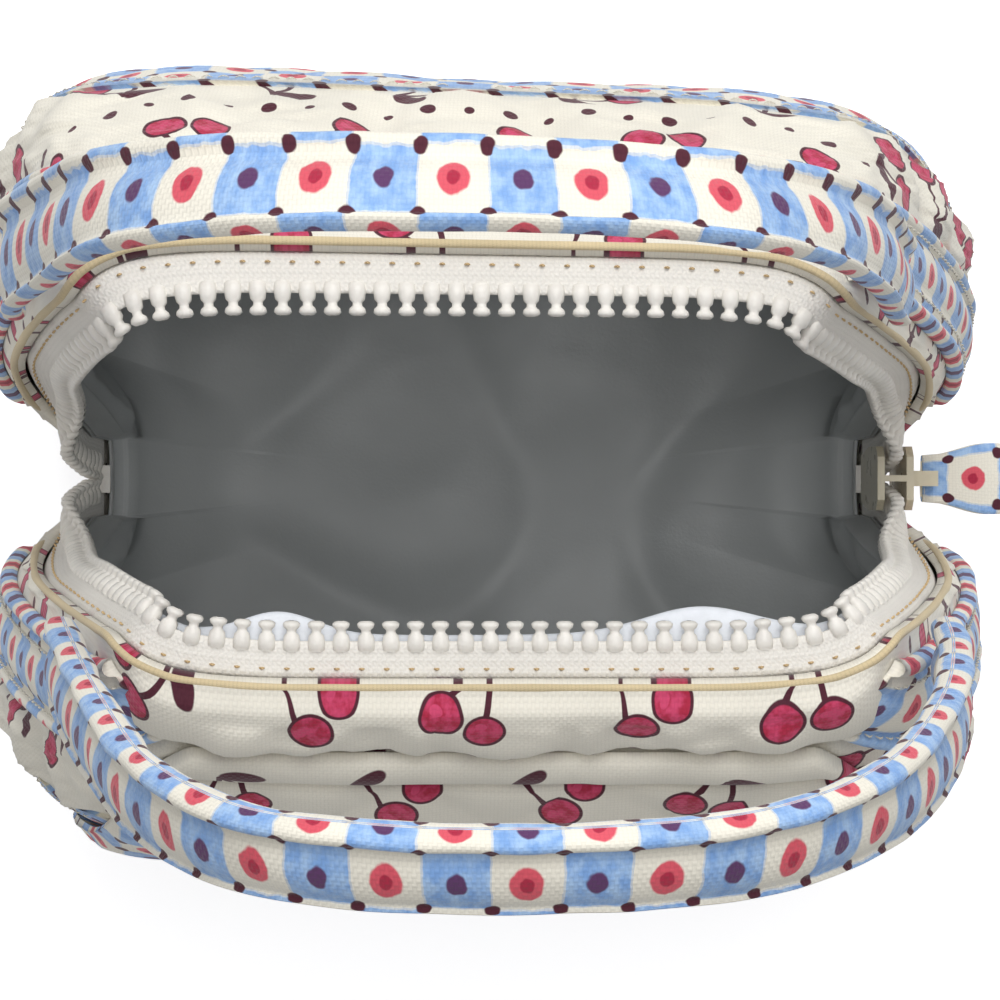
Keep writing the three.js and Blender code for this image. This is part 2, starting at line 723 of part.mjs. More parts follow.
// A sleeve: outer and inner loops joined at both ends
function sleeve(frames, width, thickness, wall) {
  const outer = frames.map((frame) => flatLoop(frame, width, thickness));
  const inner = frames.map((frame) => flatLoop(frame, width - 2 * wall, thickness - 2 * wall));
  const size = outer[0].length;
  const points = [...outer.flat(), ...inner.flat()];
  const start = outer.length * size;
  const last = (outer.length - 1) * size;
  const triangles = [];
  for (let k = 0; k < size; k += 1) {
    const l = (k + 1) % size;
    for (let i = 0; i < outer.length - 1; i += 1) {
      const a = i * size;
      const b = a + size;
      triangles.push([a + k, a + l, b + l], [a + k, b + l, b + k]);
      triangles.push([start + a + k, start + b + l, start + a + l]);
      triangles.push([start + a + k, start + b + k, start + b + l]);
    }
    triangles.push([k, start + k, start + l], [k, start + l, l]);
    triangles.push([last + k, start + last + l, start + last + k], [last + k, last + l, start + last + l]);
  }
  return solid(points, triangles);
}
const padInset = handleWall + gap;
function addHandle(name, half, top, lean, legs) {
  const frames = handleFrames(half, top, lean, legs);
  addPiece(`${name}_handle_cover`, sleeve(frames, handleWidth, handleThickness, handleWall), trimBlue, 0.85);
  const core = frames.slice(endSteps.length + 1, -endSteps.length - 1)
    .map((frame) => flatLoop(frame, handleWidth - 2 * padInset, handleThickness - 2 * padInset));
  addPiece(`${name}_handle_padding`, loft(core, false), 0xe6e6e2, 0.95);
}
addHandle('back', 1, backHandleHeight, backLean, backLegs);
addHandle('front', -1, frontHandleHeight, frontLean, frontLegs);

// Rigid zip parts are made in place, unslanted
function manifoldOf(geometry) {
  geometry.deleteAttribute('normal');
  geometry.deleteAttribute('uv');
  const merged = mergeVertices(geometry, 1e-4);
  return new wasm.Manifold(new wasm.Mesh({
    numProp: 3,
    vertProperties: new Float32Array(merged.attributes.position.array),
    triVerts: new Uint32Array(merged.index.array),
  }));
}
function geometryOf(manifold) {
  const mesh = manifold.getMesh();
  const geometry = new THREE.BufferGeometry();
  geometry.setAttribute('position', new THREE.BufferAttribute(new Float32Array(mesh.vertProperties), 3));
  geometry.setIndex(new THREE.BufferAttribute(new Uint32Array(mesh.triVerts), 1));
  geometry.computeVertexNormals();
  return geometry;
}
function box(low, high) {
  const geometry = new THREE.BoxGeometry(high[0] - low[0], high[1] - low[1], high[2] - low[2]);
  geometry.translate((low[0] + high[0]) / 2, (low[1] + high[1]) / 2, (low[2] + high[2]) / 2);
  return manifoldOf(geometry);
}
const chainX = (side, z) => side * (wallPoint(0, z, 1).x - tapeDepth);

// Slider: two shield-shaped plates joined by a divider at the top, with a crown on the outer plate
// It lies along the chain, which leans outwards as it rises
const chainLow = wallPoint(quarterAngles[2], slitBottom, 1).x;
const chainHigh = wallPoint(quarterAngles[3], sliderHigh, 1).x;
const chainLean = Math.atan2(chainHigh - chainLow, sliderHigh - slitBottom);
const sliderMiddle = sliderLow + sliderLength / 2;
const sliderX = chainLow + Math.tan(chainLean) * (sliderMiddle - slitBottom) - tapeDepth + 0.2;
function alongChain(geometry) {
  geometry.translate(-sliderX, 0, -sliderMiddle);
  geometry.rotateY(chainLean);
  geometry.translate(sliderX, 0, sliderMiddle);
  return geometry;
}
function sliderPlate(low) {
  const half = sliderWidth / 2;
  const outline = new THREE.Shape();
  outline.moveTo(-half * 0.72, sliderLow);
  outline.lineTo(half * 0.72, sliderLow);
  outline.lineTo(half, sliderLow + sliderLength * 0.45);
  outline.lineTo(half, sliderHigh - 2);
  outline.lineTo(half - 2, sliderHigh);
  outline.lineTo(-half + 2, sliderHigh);
  outline.lineTo(-half, sliderHigh - 2);
  outline.lineTo(-half, sliderLow + sliderLength * 0.45);
  outline.closePath();
  const geometry = new THREE.ExtrudeGeometry(outline, { depth: plate, bevelEnabled: false });
  geometry.rotateX(Math.PI / 2);
  geometry.rotateZ(Math.PI / 2);
  geometry.translate(low, 0, 0);
  return manifoldOf(geometry);
}
const outerFace = sliderX + plateGap / 2 + plate;
const crownMiddle = sliderMiddle;
const crownOuter = outerFace + crownReach;
const bar = plate;
let slider = sliderPlate(sliderX + plateGap / 2);
slider = slider.add(sliderPlate(sliderX - plateGap / 2 - plate));
slider = slider.add(box(
  [sliderX - plateGap / 2 - plate / 2, -dividerHalf, sliderHigh - dividerLength],
  [sliderX + plateGap / 2 + plate / 2, dividerHalf, sliderHigh],
));
slider = slider.add(box(
  [outerFace - plate / 2, -crownWidth / 2, crownMiddle - crownLength / 2],
  [crownOuter, crownWidth / 2, crownMiddle + crownLength / 2],
));
slider = slider.subtract(box(
  [outerFace, -crownWidth, crownMiddle - crownLength / 2 + bar],
  [crownOuter - bar, crownWidth, crownMiddle + crownLength / 2 - bar],
));
addPiece('zip_slider', alongChain(geometryOf(slider)), ivory, 0.35);

// Pull: a ring through the crown and a folded fabric tab, hanging a little below level
const rod = bar;
const pullX = outerFace + (crownReach - bar) / 2;
let pull = box([-rod / 2, -ringHalf, -rod / 2], [rod / 2, ringHalf, rod / 2]);
for (const side of [-1, 1]) {
  const near = Math.min(side * ringHalf, side * (ringHalf - rod));
  pull = pull.add(box([-rod / 2, near, -rod / 2], [pullRing + 1, near + rod, rod / 2]));
}
pull = pull.add(box(
  [pullRing, -pullWidth / 2, -pullThickness / 2],
  [pullRing + pullLength, pullWidth / 2, pullThickness / 2],
));
const pullGeometry = geometryOf(pull);
pullGeometry.rotateY(THREE.MathUtils.degToRad(pullDroop));
pullGeometry.translate(pullX, 0, crownMiddle);
addPiece('zip_pull', alongChain(pullGeometry), trimBlue, 0.8);

// Stops at the two lower ends of the zip
for (const [name, side] of [['right', 1], ['left', -1]]) {
  const low = slitBottom + gap * 2;
  const x = chainX(side, low + stopHeight / 2);
  const stop = box([x - stopDepth / 2, -stopHalf, low], [x + stopDepth / 2, stopHalf, low + stopHeight]);
  addPiece(`zip_stop_${name}`, geometryOf(stop), ivory, 0.35);
}

export default bag;
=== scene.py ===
import math

import bpy
import numpy as np
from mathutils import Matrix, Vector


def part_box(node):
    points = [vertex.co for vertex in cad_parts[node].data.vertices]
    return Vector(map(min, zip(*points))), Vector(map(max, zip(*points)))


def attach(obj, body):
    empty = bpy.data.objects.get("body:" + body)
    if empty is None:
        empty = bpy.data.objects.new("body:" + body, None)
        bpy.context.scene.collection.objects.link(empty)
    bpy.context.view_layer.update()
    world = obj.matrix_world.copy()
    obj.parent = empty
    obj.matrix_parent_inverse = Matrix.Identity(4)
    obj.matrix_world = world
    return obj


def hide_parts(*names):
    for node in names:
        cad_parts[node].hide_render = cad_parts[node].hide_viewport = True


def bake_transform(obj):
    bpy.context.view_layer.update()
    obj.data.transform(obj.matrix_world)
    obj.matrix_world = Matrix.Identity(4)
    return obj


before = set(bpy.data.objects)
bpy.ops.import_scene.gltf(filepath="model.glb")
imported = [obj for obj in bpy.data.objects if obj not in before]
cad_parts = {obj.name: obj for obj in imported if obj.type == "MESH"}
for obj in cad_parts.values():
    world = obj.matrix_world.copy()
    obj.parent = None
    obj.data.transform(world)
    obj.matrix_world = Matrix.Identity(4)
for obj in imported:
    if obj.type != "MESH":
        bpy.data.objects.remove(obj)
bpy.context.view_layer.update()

bl_info = {
    "name": "Insulated tote bag",
    "version": (1, 0, 0),
    "blender": (4, 5, 0),
    "location": "View3D > Sidebar > Tote bag",
    "description": "Builds the cloth, zip, handles and stage of an insulated tote bag",
    "category": "Object",
}

MM = 0.001

# Driving sizes of the body, in millimetres, the same values as the solids
BODY_HEIGHT = 196.0
BELLY_HEIGHT = 118.0
BELLY_HALF_WIDTH = 92.0
BELLY_HALF_DEPTH = 73.0
MOUTH_HALF_WIDTH = 66.0
MOUTH_HALF_DEPTH = 39.0
FRONT_FULLNESS = 0.92
FOOT_WIDTH_SHARE = 0.9
FOOT_DEPTH_SHARE = 0.86
FOOT_RADIUS = 4.0
COLUMN_ROOT = 0.625
PINCH_DEPTH = 10.5
PINCH_HALF_WIDTH = 18.0
MOUTH_SHIFT = 4.0
BACK_SLANT = 0.055
NOTCH_BOTTOM = 46.0
SLIT_BOTTOM = 28.0
SLIT_HALF_WIDTH = 7.5
NOTCH_TOP_HALF_WIDTH = 30.0
NOTCH_FILLET = 9.0
BAND_HEIGHT = 148.0
BAND_SIDE_HEIGHT = 19.0
SLIDER_HIGH = 65.0
QUILT = 2.4
TAPE_DEPTH = 3.28
LINING_DEPTH = 9.1
LINING_FLOOR = 8.3
LINING_SHEET = 0.8
LINING_CORNER = 16.0
TOOTH_PITCH = 4.2
TEETH_FROM_END = 3.8
STRAP_ARC = 5.0
STRAP_WIDTH = 20.0
POCKET_TOP = 182.0
POCKET_CORNER_DROP = 26.0
POCKET_FOOT = 20.0
POCKET_STAND_OFF = 1.4
POCKET_SHARE = 0.842
PIVOT_HEIGHT = 190.0
PIVOT_Y = 34.02
HANDLE_HALF_SPAN = 75.04
HANDLE_WIDTH = 17.4
HANDLE_FOOT = 17.0
HANDLE_TILT = -38.0
HALVES = (("back", 1.0), ("front", -1.0))
SIDES = (("right", 1.0), ("left", -1.0))

# Cloth, in millimetres: quilting, simulation, weave threads per metre and print pitches in metres
QUILT_PITCH = 33.0
SETTLE_FRAMES = 20
SETTLE_CAP = 4.0
SETTLE_INWARD = 1.4
COTTON_THREADS = 1500.0
TAPE_THREADS = 1300.0
CHERRY_PITCH = 0.028
CHECK_PITCH = 0.0205


def smooth(low, high, value):
    """The share of the way from low to high, eased as 3t^2 - 2t^3."""
    share = np.clip((value - low) / (high - low), 0.0, 1.0)
    return share * share * (3.0 - 2.0 * share)


def unit(vectors):
    """Vectors of length one along the last axis."""
    return vectors / np.maximum(np.linalg.norm(vectors, axis=-1, keepdims=True), 1e-9)


def square_to(vectors, normal):
    """The unit vectors left when the part along each normal is taken off."""
    return unit(vectors - normal * np.einsum("ij,ij->i", vectors, normal)[:, None])


def half_width(z):
    """Half the body's width by height: a 1.5-power curve above 0.6 of the belly height, a cubic taper below it."""
    widest = BELLY_HEIGHT * 0.6
    upper = np.clip((BODY_HEIGHT - z) / (BODY_HEIGHT - widest), 0, 1)
    above = MOUTH_HALF_WIDTH + (BELLY_HALF_WIDTH - MOUTH_HALF_WIDTH) * (1 - (1 - upper) ** 1.5)
    drop = np.clip((widest - z) / widest, 0, None)
    below = BELLY_HALF_WIDTH * (1 - (1 - FOOT_WIDTH_SHARE) * drop ** 3)
    return np.where(z >= widest, above, below)


def half_depth(z):
    """Half the body's depth by height: a parabola above the belly, a cubic taper below it."""
    share = np.clip((BODY_HEIGHT - z) / (BODY_HEIGHT - BELLY_HEIGHT), 0, 1)
    above = MOUTH_HALF_DEPTH + (BELLY_HALF_DEPTH - MOUTH_HALF_DEPTH) * (1 - (1 - share) ** 2)
    drop = np.clip((BELLY_HEIGHT - z) / BELLY_HEIGHT, 0, None)
    below = BELLY_HALF_DEPTH * (1 - (1 - FOOT_DEPTH_SHARE) * drop ** 3)
    return np.where(z >= BELLY_HEIGHT, above, below)


def squareness(z):
    """The superellipse power of the section, rising from 6.6 at the belly to 7 at the mouth."""
    return 6.6 + 0.4 * smooth(BELLY_HEIGHT, BODY_HEIGHT, z)


def depth_share(angle):
    """How far a column lies towards the front or back, 0 at the side and 1 in the middle of the half."""
    return np.clip(np.sin(angle), 0, 1) ** COLUMN_ROOT


def width_share(angle):
    """How far a column lies towards the side, 0 in the middle of the half and 1 at the side."""
    return np.clip(np.cos(angle), 0, 1) ** COLUMN_ROOT


def section(angle, z):
    """Shares of the half width and half depth where a column's ray meets the superellipse section at height z."""
    across, deep = width_share(angle), depth_share(angle)
    power = squareness(z)
    reach = (across ** power + deep ** power) ** (-1 / power)
    return across * reach, deep * reach


def angle_of_depth(share, z):
    """The angle of the column that meets the section at height z at a share of its half depth."""
    power = squareness(z)
    across = np.clip(1 - share ** power, 0, 1) ** (1 / power)
    return np.arctan2(share ** (1 / COLUMN_ROOT), across ** (1 / COLUMN_ROOT))


def wall(angle, z, side):
    """Wall point (x, y, z): a superellipse section at height z, pinched at y = 0, its foot rounded by a circle."""
    angle = np.asarray(angle, float)
    z = np.asarray(z, float)
    across, deep = section(angle, z)
    rise = np.clip(FOOT_RADIUS - z, 0, FOOT_RADIUS)
    inset = FOOT_RADIUS - np.sqrt(np.clip(FOOT_RADIUS ** 2 - rise ** 2, 0, None))
    y = (half_depth(z) - inset) * deep
    x = (half_width(z) - inset) * across
    fade = 1 - smooth(NOTCH_BOTTOM, BODY_HEIGHT, z)
    x = x - PINCH_DEPTH * fade * np.exp(-(y / PINCH_HALF_WIDTH) ** 4)
    return np.stack([side * x, y, z + 0 * x], -1)


def wall_normal(angle, z, side, half=1.0):
    """Outward normal: the cross product of two small steps along the wall, mirrored for the front half."""
    low = np.clip(angle - 0.002, 0.0005, None)
    high = np.clip(angle + 0.002, None, math.pi / 2 - 0.0005)
    across = wall(high, z, side) - wall(low, z, side)
    bottom = np.clip(z - 0.5, 0, None)
    rise = wall(angle, np.clip(bottom + 1.0, None, BODY_HEIGHT), side) - wall(angle, bottom, side)
    normal = np.cross(across, rise)
    turn = np.sign(normal[..., 0] * side + normal[..., 1])
    return unit(normal * turn[..., None]) * np.array([1.0, half, 1.0])


def slanted(points):
    """The mouth's shift and slant: the back edge sits left and slants, the front edge sits right."""
    x, y, z = points[..., 0], points[..., 1], points[..., 2]
    upper = smooth(NOTCH_BOTTOM, BODY_HEIGHT, z)
    slant = np.where(y < 0, 0.0, BACK_SLANT * (x / BELLY_HALF_WIDTH) * smooth(8, 50, y))
    fullness = np.where(y < 0, FRONT_FULLNESS, 1.0)
    return np.stack([x - MOUTH_SHIFT * np.tanh(y / 14) * upper, y * (1 - slant) * fullness, z], -1)


def notch_half_width(z):
    """Half the width of the side opening: straight V with a quarter-circle fillet at its top."""
    share = np.clip((z - NOTCH_BOTTOM) / (BODY_HEIGHT - NOTCH_BOTTOM), 0, 1)
    into = np.clip(z - (BODY_HEIGHT - NOTCH_FILLET), 0, NOTCH_FILLET)
    rounded = NOTCH_FILLET - np.sqrt(np.clip(NOTCH_FILLET ** 2 - into ** 2, 0, None))
    return SLIT_HALF_WIDTH + (NOTCH_TOP_HALF_WIDTH - SLIT_HALF_WIDTH) * share + rounded * 0.8


def rim_height(angle):
    """Where each column meets the side opening, by bisection, or the full height past it."""
    angle = np.asarray(angle, float)

    def width(z):
        return half_depth(z) * section(angle, z)[1]

    low, high = np.full(angle.shape, NOTCH_BOTTOM), np.full(angle.shape, BODY_HEIGHT)
    base, full = low, high
    for _ in range(40):
        middle = (low + high) / 2
        inside = width(middle) > notch_half_width(middle)
        low, high = np.where(inside, middle, low), np.where(inside, high, middle)
    rim = np.where(width(full) > notch_half_width(full), BODY_HEIGHT, low)
    return np.where(width(base) < SLIT_HALF_WIDTH, SLIT_BOTTOM, rim)


SLIT_SHARE = SLIT_HALF_WIDTH / BELLY_HALF_DEPTH
SIDE_SHARES = np.array([0, SLIT_SHARE * 0.96, SLIT_SHARE * 1.06, 0.15, 0.2, 0.27, 0.36, 0.46, 0.56, 0.66, 0.76,
                        0.85, 0.92])
BACK_SHARES = np.array([0.8, 0.62, 0.42, 0.21, 0])
QUARTER = np.concatenate([angle_of_depth(SIDE_SHARES, 0.0), math.pi / 2 - angle_of_depth(BACK_SHARES, 0.0)])


def half_columns(fine):
    """Angles and sides of one half's columns, left to right, each CAD step split into fine equal parts."""
    steps = len(QUARTER) - 1
    quarter = np.interp(np.linspace(0, steps, steps * fine + 1), np.arange(steps + 1), QUARTER)
    angle = np.concatenate([quarter, quarter[-2::-1]])
    side = np.concatenate([-np.ones(len(quarter)), np.ones(len(quarter) - 1)])
    return angle, side


def ring_columns(fine):
    """Angles, sides and halves right round the body, back half first, without doubling the side columns."""
    angle, side = half_columns(fine)
    half = np.concatenate([np.ones(len(angle)), -np.ones(len(angle) - 2)])
    return np.concatenate([angle, angle[-2:0:-1]]), np.concatenate([side, side[-2:0:-1]]), half


def by_rows(rows, *columns):
    """Each row of column values, repeated over a number of rows of points."""
    return [np.repeat(values[:, None], rows, 1) for values in columns]


def band_height(angle):
    """The upper edge of the contrast base: low at the sides, high at front and back."""
    return BAND_SIDE_HEIGHT + (BAND_HEIGHT - BAND_SIDE_HEIGHT) * smooth(0.4, 0.92, depth_share(angle))


def run_length(points):
    """Distance run along a row of points."""
    return np.concatenate([[0], np.cumsum(np.linalg.norm(np.diff(points, axis=0), axis=1))])


def bead(value, middle, reach):
    """Height of a half circle along a value: 1 at its middle, 0 from reach away on."""
    return np.sqrt(np.clip(1 - ((value - middle) / reach) ** 2, 0, 1))


def fuller(wave, power):
    """A wave with fuller sides: its size to a power under 1, its sign kept."""
    return np.sign(wave) * np.abs(wave) ** power


def read_at(places, run, values):
    """Points or directions read along a row of them, at places measured along its run."""
    return np.stack([np.interp(places, run, values[:, k]) for k in range(3)], -1)


def profile_arc(z):
    """Arc length up the middle of the wall, from the floor to height z."""
    heights = np.linspace(0, BODY_HEIGHT, 200)
    return np.interp(z, heights, run_length(np.stack([half_depth(heights), heights], -1)))


def soft_noise(u, v, size, seed):
    """Smooth lumps: five seeded sine waves of wavelength near size, in flat cloth coordinates."""
    rng = np.random.default_rng(seed)
    total = np.zeros(np.broadcast(u, v).shape)
    for _ in range(5):
        turn, phase, stretch = rng.uniform(0, math.pi), rng.uniform(0, 6.28), rng.uniform(0.7, 1.4)
        wave = (u * math.cos(turn) + v * math.sin(turn)) * 2 * math.pi / (size * stretch)
        total = total + np.sin(wave + phase + 0.6 * np.sin(wave * 0.37 + phase))
    return total / 5


def folds(u, v, size, seed):
    """Broad soft crests with narrow valleys between them, 0 in a valley to about 1, slanting across the cloth."""
    along = soft_noise(0.8 * u + 0.6 * v, 0.6 * (0.8 * v - 0.6 * u), size, seed)
    fade = 0.6 + 0.4 * soft_noise(u, v, 1.3 * size, seed + 20)
    return np.tanh(2.4 * np.sqrt(along * along + 0.012)) * fade


def quilt_sines(u, v):
    """Sines of two crossed sets of slanting lines, both 0 on the quilting's stitch lines."""
    return np.abs(np.sin(math.pi * (u + v) / QUILT_PITCH)), np.abs(np.sin(math.pi * (u - v) / QUILT_PITCH))


def quilted(u, v):
    """Quilt puff from 0 on the stitch lines to 1 between them: two crossed sines, flattened by a root."""
    first, second = quilt_sines(u, v)
    return (first * second) ** 0.4


# Meshes

def make_mesh(name, points, faces, uv=None, material=None):
    """A new object at the origin from points in millimetres, quads or triangles, and per-vertex flat coordinates."""
    mesh = bpy.data.meshes.new(name)
    points = np.asarray(points, float).reshape(-1, 3) * MM
    faces = np.asarray(faces, int)
    mesh.vertices.add(len(points))
    mesh.vertices.foreach_set("co", points.ravel())
    corners = faces.shape[1]
    mesh.loops.add(faces.size)
    mesh.loops.foreach_set("vertex_index", faces.ravel())
    mesh.polygons.add(len(faces))
    mesh.polygons.foreach_set("loop_start", np.arange(len(faces)) * corners)
    mesh.polygons.foreach_set("loop_total", np.full(len(faces), corners))
    mesh.update(calc_edges=True)
    mesh.validate()
    mesh.polygons.foreach_set("use_smooth", np.ones(len(mesh.polygons), bool))
    if uv is not None:
        layer = mesh.uv_layers.new(name="Cloth")
        index = np.zeros(len(mesh.loops), int)
        mesh.loops.foreach_get("vertex_index", index)
        layer.data.foreach_set("uv", (np.asarray(uv).reshape(-1, 2)[index] * MM).ravel())
    thing = bpy.data.objects.new(name, mesh)
    bpy.context.scene.collection.objects.link(thing)
    if material:
        thing.data.materials.append(material)
    return thing


def grid_faces(rows, columns, close_rows=False, close_columns=False):
    """Quads of a grid of rows by columns points, optionally joined round either way."""
    r = np.arange(rows if close_rows else rows - 1)
    c = np.arange(columns if close_columns else columns - 1)
    r, c = np.meshgrid(r, c, indexing="ij")
    here, next_row = r * columns, ((r + 1) % rows) * columns
    following = (c + 1) % columns
    return np.stack([here + c, next_row + c, next_row + following, here + following], -1).reshape(-1, 4)


def outward(points, faces):
    """The faces, turned round if the closed body they make has a negative volume."""
    p = np.asarray(points).reshape(-1, 3)
    a, b, c = p[faces[:, 0]], p[faces[:, 1]], p[faces[:, 2]]
    volume = np.einsum("ij,ij->i", a, np.cross(b, c)).sum()
    if faces.shape[1] == 4:
        volume += np.einsum("ij,ij->i", a, np.cross(c, p[faces[:, 3]])).sum()
    return faces[:, ::-1] if volume < 0 else faces


def loop_faces(loops):
    """Faces of a closed body from section loops along a path, each end closed by a strip of quads."""
    count, size = loops.shape[:2]
    k = np.arange(size // 2 - 1)
    start = np.stack([k, size - 1 - k, size - 2 - k, k + 1], -1)
    end = start[:, ::-1] + (count - 1) * size
    return outward(loops, np.concatenate([grid_faces(count, size, close_columns=True), start, end]))


def loop_body(loops, *uv):
    """A closed body from section loops along a path."""
    return loops, loop_faces(loops), np.stack(np.broadcast_arrays(*uv), -1)


def many_bodies(loops, uv=None):
    """Small closed bodies of one kind in one mesh, each from its own section loops."""
    first = np.arange(len(loops)) * (loops[0].size // 3)
    return loops, (loop_faces(loops[0]) + first[:, None, None]).reshape(-1, 4), uv


def sheet_body(outer, inner, u, v):
    """A closed sheet: columns of outer points, then the same columns of inner points back again, as section loops."""
    u, v = np.broadcast_arrays(u, v)
    return loop_body(np.concatenate([outer, inner[:, ::-1]], axis=1),
                     np.concatenate([u, u[:, ::-1]], axis=1), np.concatenate([v, v[:, ::-1]], axis=1))


def tub_body(outer, inner, low, high):
    """A closed tub: outer and inner columns round the body, each ending in rings round a centre on the axis."""
    loops = np.concatenate([outer, inner[:, ::-1]], axis=1)
    count, size = loops.shape[:2]
    low_last, high_first = outer.shape[1] - 1, outer.shape[1]
    keep = np.ones((count, size - 1), bool)
    keep[:, low_last] = False
    faces = grid_faces(count, size, close_rows=True)[keep.ravel()]
    here = np.arange(count) * size
    there = np.roll(here, -1)
    faces = np.concatenate([faces, np.stack([here + size - 1, here, there, there + size - 1], -1)])
    points = np.concatenate([loops.reshape(-1, 3), [[0, 0, high], [0, 0, low]]])
    centre = np.full(count, len(points) - 2)
    cap_low = np.stack([here + low_last, there + low_last, centre + 1], -1)
    cap_high = np.stack([centre, there + high_first, here + high_first], -1)
    triangles = np.concatenate([faces[:, [0, 1, 2]], faces[:, [0, 2, 3]], cap_low, cap_high])
    return points, outward(points, triangles)


# Materials

class Value:
    """A shader value that plain arithmetic works on: each step adds one math node."""

    def __init__(self, graph, socket):
        self.graph = graph
        self.socket = socket

    def __add__(self, other):
        return self.graph.math("ADD", self, other)

    def __sub__(self, other):
        return self.graph.math("SUBTRACT", self, other)

    def __rsub__(self, other):
        return self.graph.math("SUBTRACT", other, self)

    def __mul__(self, other):
        return self.graph.math("MULTIPLY", self, other)

    def __truediv__(self, other):
        return self.graph.math("DIVIDE", self, other)

    def __abs__(self):
        return self.graph.math("ABSOLUTE", self)


class Graph:
    """Short calls for shader nodes: each returns the value that it makes."""

    def __init__(self, tree):
        self.tree = tree
        self.column = 0

    def node(self, kind, **values):
        made = self.tree.nodes.new(kind)
        self.column += 1
        made.location = (self.column * 30, -self.column * 12)
        for key, value in values.items():
            setattr(made, key, value)
        return made

    def put(self, socket, value):
        if isinstance(value, Value):
            self.tree.links.new(value.socket, socket)
        else:
            socket.default_value = value

    def fed(self, made, values, output=0):
        """A node fed with values by the name or number of each input, and the value of one output."""
        for key, value in values.items() if isinstance(values, dict) else enumerate(values):
            self.put(made.inputs[key], value)
        return Value(self, made.outputs[output])

    def source(self, kind, output, **values):
        return Value(self, self.node(kind, **values).outputs[output])

    def math(self, operation, *values, clamp=False):
        return self.fed(self.node("ShaderNodeMath", operation=operation, use_clamp=clamp), values)

    def step(self, value, low, high, start=0.0, end=1.0):
        made = self.node("ShaderNodeMapRange", interpolation_type="SMOOTHSTEP")
        return self.fed(made, (value, low, high, start, end))

    def mix(self, factor, a, b, blend="MIX"):
        made = self.node("ShaderNodeMix", data_type="RGBA", blend_type=blend)
        return self.fed(made, {0: factor, 6: a, 7: b}, 2)

    def toned(self, colour, tone):
        return self.mix(1.0, colour, self.join(tone, tone, tone), "MULTIPLY")

    def noise(self, vector, scale, detail=2.0):
        made = self.node("ShaderNodeTexNoise")
        return self.fed(made, {"Vector": vector, "Scale": scale, "Detail": detail, "Roughness": 0.5}, "Fac")

    def split(self, vector):
        made = self.node("ShaderNodeSeparateXYZ")
        self.put(made.inputs[0], vector)
        return [Value(self, socket) for socket in made.outputs]

    def join(self, x, y, z=0.0):
        return self.fed(self.node("ShaderNodeCombineXYZ"), (x, y, z))

    def bump(self, height, strength, distance):
        return self.fed(self.node("ShaderNodeBump"), {"Strength": strength, "Distance": distance, "Height": height})

    def length(self, x, y):
        return self.math("SQRT", x * x + y * y)

    def cloth(self):
        """The piece's own flat cloth coordinates, in metres."""
        return self.source("ShaderNodeUVMap", 0, uv_map="Cloth")

    def place(self):
        return self.source("ShaderNodeTexCoord", "Object")

    def grouped(self, tree, values):
        made = self.node("ShaderNodeGroup", node_tree=tree)
        self.fed(made, values)
        return {socket.name: Value(self, socket) for socket in made.outputs}


def linear(rgb):
    """A linear colour with alpha from sRGB values of 0 to 255."""
    share = [value / 255 for value in rgb]
    return tuple(v / 12.92 if v <= 0.04045 else ((v + 0.055) / 1.055) ** 2.4 for v in share) + (1.0,)


def group(name, inputs, outputs, build):
    """A shader node group, made once: build gets the graph, the input values and a function that sets outputs."""
    tree = bpy.data.node_groups.get(name)
    if tree:
        return tree
    tree = bpy.data.node_groups.new(name, "ShaderNodeTree")
    for label in inputs:
        kind = "NodeSocketVector" if label == "Vector" else "NodeSocketFloat"
        tree.interface.new_socket(name=label, in_out="INPUT", socket_type=kind)
    for label in outputs:
        tree.interface.new_socket(name=label, in_out="OUTPUT", socket_type="NodeSocketFloat")
    graph = Graph(tree)
    entry, leave = graph.node("NodeGroupInput"), graph.node("NodeGroupOutput")
    given = [Value(graph, entry.outputs[label]) for label in inputs]
    build(graph, given, lambda label, value: graph.put(leave.inputs[label], value))
    return tree


def weave_group():
    """Plain weave: two sets of threads over and under each other, with uneven thickness."""
    def build(g, given, give):
        vector, threads = given
        x, y, _ = g.split(vector)
        fx, fy = x * threads, y * threads
        wx, wy = abs(g.math("SINE", fx * math.pi)), abs(g.math("SINE", fy * math.pi))
        over = abs(g.math("MODULO", g.math("FLOOR", fx) + g.math("FLOOR", fy), 2.0))
        give("Height", g.mix(over, wx, wy) * (g.noise(vector, 900.0) + 0.5))
        give("Cloud", g.noise(vector, 45.0, 4.0))
    return group("plain weave", ("Vector", "Threads"), ("Height", "Cloud"), build)


